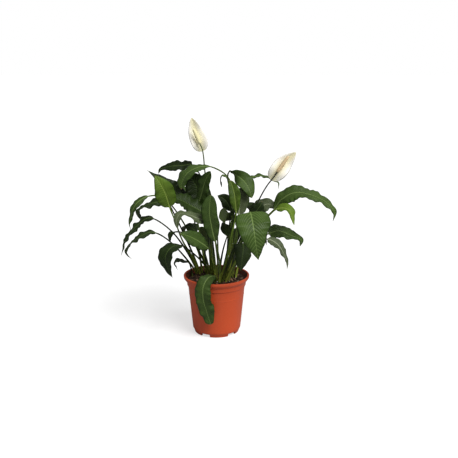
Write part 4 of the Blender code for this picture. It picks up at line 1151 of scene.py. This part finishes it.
# %% The table of flowers
FLOWERS = (
    ("flower_left", 22.5, (0.1, -1.0, 0.1),
     ((6, 37), (-8, 62, 259), (-22, 70, 351), (-30, 60, 411), (-33, 50, 454), (-37, 48, 474),
      (-41, 47, 482)),
     ((-37, 58, 463), (-42, 54, 485), (-53, 58, 515), (-62, 50, 549)),
     ((-41, 46, 484), (-58, 42, 523))),
    ("flower_right", 23.5, (0.1, -1.0, 0.1),
     ((34, -4), (60, -2, 244), (107, -4, 348), (127, -6, 385), (141, -7, 404), (151, -7, 418)),
     ((138, 2, 399), (152, -3, 419), (174, 3, 445), (198, -1, 468)),
     ((152, -8, 420), (179, -12, 460))),
)
STEM_FOOT, STEM_TOP = 0.0026, 0.0016
STEM_ROWS, STEM_SIDES = 90, 20
print("flowers:", len(FLOWERS))


# %% Stalks of the flowers
def stalk_finish(name, low, high):
    """Green from foot to top, with fine streaks along it."""
    finish = Finish(name, specular_ior_level=0.45)
    streak = finish.noise(240.0, 3.0)
    colour = finish.mix(finish.field("share"), low, high)
    colour = finish.mix(finish.rise(streak, 0.4, 0.7, 0.0, 0.4), colour,
                        dimmed(high, 0.55))
    finish.bump(streak, 0.0003)
    return finish.finish(colour, finish.rise(streak, 0.3, 0.7, 0.40, 0.55))


def make_stalk(name, stalk, club_foot, finish):
    """A round stalk that thins from the soil to the foot of the flower's club."""
    foot = stalk[0]
    knots = [(*foot, SOIL_TOP - ROOTED), (*foot, SOIL_TOP + ABOVE_SOIL)] + list(stalk[1:])
    knots.append(club_foot)
    curve = smooth_path(knots)
    share = np.linspace(0, 1, STEM_ROWS)
    path, length = walked(curve, 0, len(curve) - 1, share)
    radius = (STEM_FOOT + (STEM_TOP - STEM_FOOT) * share)[:, None]
    rings = tube_rings(path, radius, STEM_SIDES)
    made = ring_solid(name, rings, finish, {
        "share": np.repeat(share[:, None], STEM_SIDES, axis=1)})
    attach(made, "root")
    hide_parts(name.replace("_stem", "_stalk"))
    print(name, round(length, 3), "m")
    return made


# %% The hood
HOOD_SKIN, HOOD_VEINS, HOOD_ROWS = 0.0006, 6.0, 100


def hood_sections(s, half_width):
    """A broad cup: the halves rise from the middle, then the margin rolls back a little,
    with a slow wave along it."""
    s_col, reach = s[:, None], np.abs(U)[None, :]
    shape = s ** 0.45 * (1 - s) ** 0.78
    width = np.maximum(half_width * shape / shape.max(), 0.0005)
    width = np.maximum(width, 0.0016 * (1 - smooth_step(s, 0.0, 0.05)))[:, None]
    wave = 0.05 * np.sin(2 * math.pi * (2.3 * s_col + 0.3 * np.sign(U)[None, :]))
    x = width * U[None, :] * 0.97
    cup = width * (0.34 * reach ** 1.6 - 0.16 * reach ** 4 + wave * reach ** 3)
    rib = 0.0011 * (1 - s_col) ** 0.8 * np.exp(-(x / 0.0016) ** 2)
    z = cup + np.where(UPPER > 0, HOOD_SKIN / 2, -HOOD_SKIN / 2 - rib)
    z = np.where(reach > MARGIN, cup, z)
    return x, z


def make_hood(name, midrib, half_width, face, finish):
    """Cupped sections along the hood's midrib."""
    s = np.linspace(0, 1, HOOD_ROWS)
    curve = smooth_path(midrib)
    path, length = walked(curve, 0, len(curve) - 1, s)
    across, up = side_and_up(path, 0, face, face)
    x, z = hood_sections(s, half_width)
    rings = swept(path, x, z, across, up)
    reach = np.abs(U)[None, :]
    fields = ring_fields(x, reach, s[:, None], HOOD_VEINS * reach)
    made = ring_solid(name, rings, finish, fields)
    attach(made, "root")
    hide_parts(name.replace("_hood", "_spathe"))
    print(name, round(length, 3), "m long")
    return made


def hood_finish():
    """Cream white: warmer round the club and at the base, paler towards the margin, with
    faint lengthwise veins."""
    finish = Finish("spathe_cream", specular_ior_level=0.15)
    share, across, edge = finish.field("share"), finish.field("across"), finish.field("edge")
    wave = finish.ridges(finish.field("vein"))
    colour = finish.mix(finish.rise(finish.noise(60.0, 3.0), 0.3, 0.7),
                        (0.84, 0.80, 0.62), (0.89, 0.86, 0.71))
    colour = finish.mix(finish.rise(edge, 0.35, 0.95, 0.0, 0.85), colour,
                        (0.93, 0.90, 0.85))
    colour = finish.mix(finish.rise(across, 0.011, 0.001, 0.0, 0.70), colour,
                        (0.85, 0.78, 0.48))
    colour = finish.mix(finish.rise(wave, 0.4, 0.0, 0.0, 0.16), colour, (0.76, 0.72, 0.48))
    colour = finish.mix(finish.rise(share, 0.16, 0.0, 0.0, 0.5), colour, (0.78, 0.77, 0.48))
    finish.bump(wave, 0.0002, 0.4)
    return finish.finish(colour, 0.6)


# %% The spadix
SPADIX_R = 0.0046
FLORET_ROWS, FLORETS_ROUND = 21, 9
CLUB_ROWS, CLUB_SIDES = 170, 108


def make_spadix(name, ends, finish):
    """A club whose radius is a full profile times one plus a floret lattice: the product
    of two spiral waves that cross gives round bumps in rows that wind both ways."""
    start, stop = (np.asarray(end, float) for end in ends)
    t = np.linspace(0, 1, CLUB_ROWS)
    path = start + t[:, None] * (stop - start)
    full = np.interp(t, [0.0, 0.05, 0.14, 0.5, 0.86, 0.96, 1.0],
                     [0.42, 0.80, 0.98, 1.0, 0.84, 0.55, 0.10])
    angle = np.linspace(0, 2 * math.pi, CLUB_SIDES, endpoint=False)
    climb = math.pi * FLORET_ROWS * t[:, None]
    wind = 0.5 * FLORETS_ROUND * angle[None, :]
    lattice = np.cos(climb + wind) * np.cos(climb - wind)
    floret = np.sqrt(np.abs(lattice))
    radius = SPADIX_R * full[:, None] * (0.90 + 0.12 * floret)
    rings = tube_rings(path, radius, CLUB_SIDES)
    made = ring_solid(name, rings, finish, {
        "floret": floret, "share": np.repeat(t[:, None], CLUB_SIDES, axis=1)})
    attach(made, "root")
    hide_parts(name.replace("_club", "_spadix"))
    print(name, "florets:", FLORET_ROWS * FLORETS_ROUND)
    return made


def club_finish(name, pit_shade, crown):
    """Pale on the crown of each floret and darker between them, as painted shade in the
    hollows.
    """
    finish = Finish(name, specular_ior_level=0.3)
    floret = finish.field("floret")
    fine = finish.noise(900.0, 3.0)
    # The pit colour is painted shade: the hollows between florets are darkened.
    colour = finish.mix(finish.rise(floret, 0.15, 0.75), pit_shade, crown)
    colour = finish.mix(finish.rise(fine, 0.45, 0.7, 0.0, 0.3), colour,
                        dimmed(crown, 0.7))
    finish.bump(fine, 0.0003)
    return finish.finish(colour, 0.72)


green_stalk = stalk_finish("stalk_green", (0.085, 0.120, 0.034), (0.105, 0.135, 0.052))
dark_stalk = stalk_finish("stalk_dark", (0.020, 0.032, 0.012), (0.016, 0.016, 0.010))
hood = hood_finish()
# Each club's first colour is its pits, darkened as painted shade.
clubs = {"flower_left": club_finish("spadix_cream", (0.64, 0.57, 0.29), (0.86, 0.80, 0.50)),
         "flower_right": club_finish("spadix_straw", (0.55, 0.38, 0.19), (0.80, 0.62, 0.38))}
stalks = {"flower_left": green_stalk, "flower_right": dark_stalk}
for name, half_width, face, stalk, midrib, ends in FLOWERS:
    club_ends = metres(ends)
    make_stalk(name + "_stem", metres(stalk), club_ends[0], stalks[name])
    make_hood(name + "_hood", metres(midrib), half_width / PER_METRE, face, hood)
    make_spadix(name + "_club", club_ends, clubs[name])
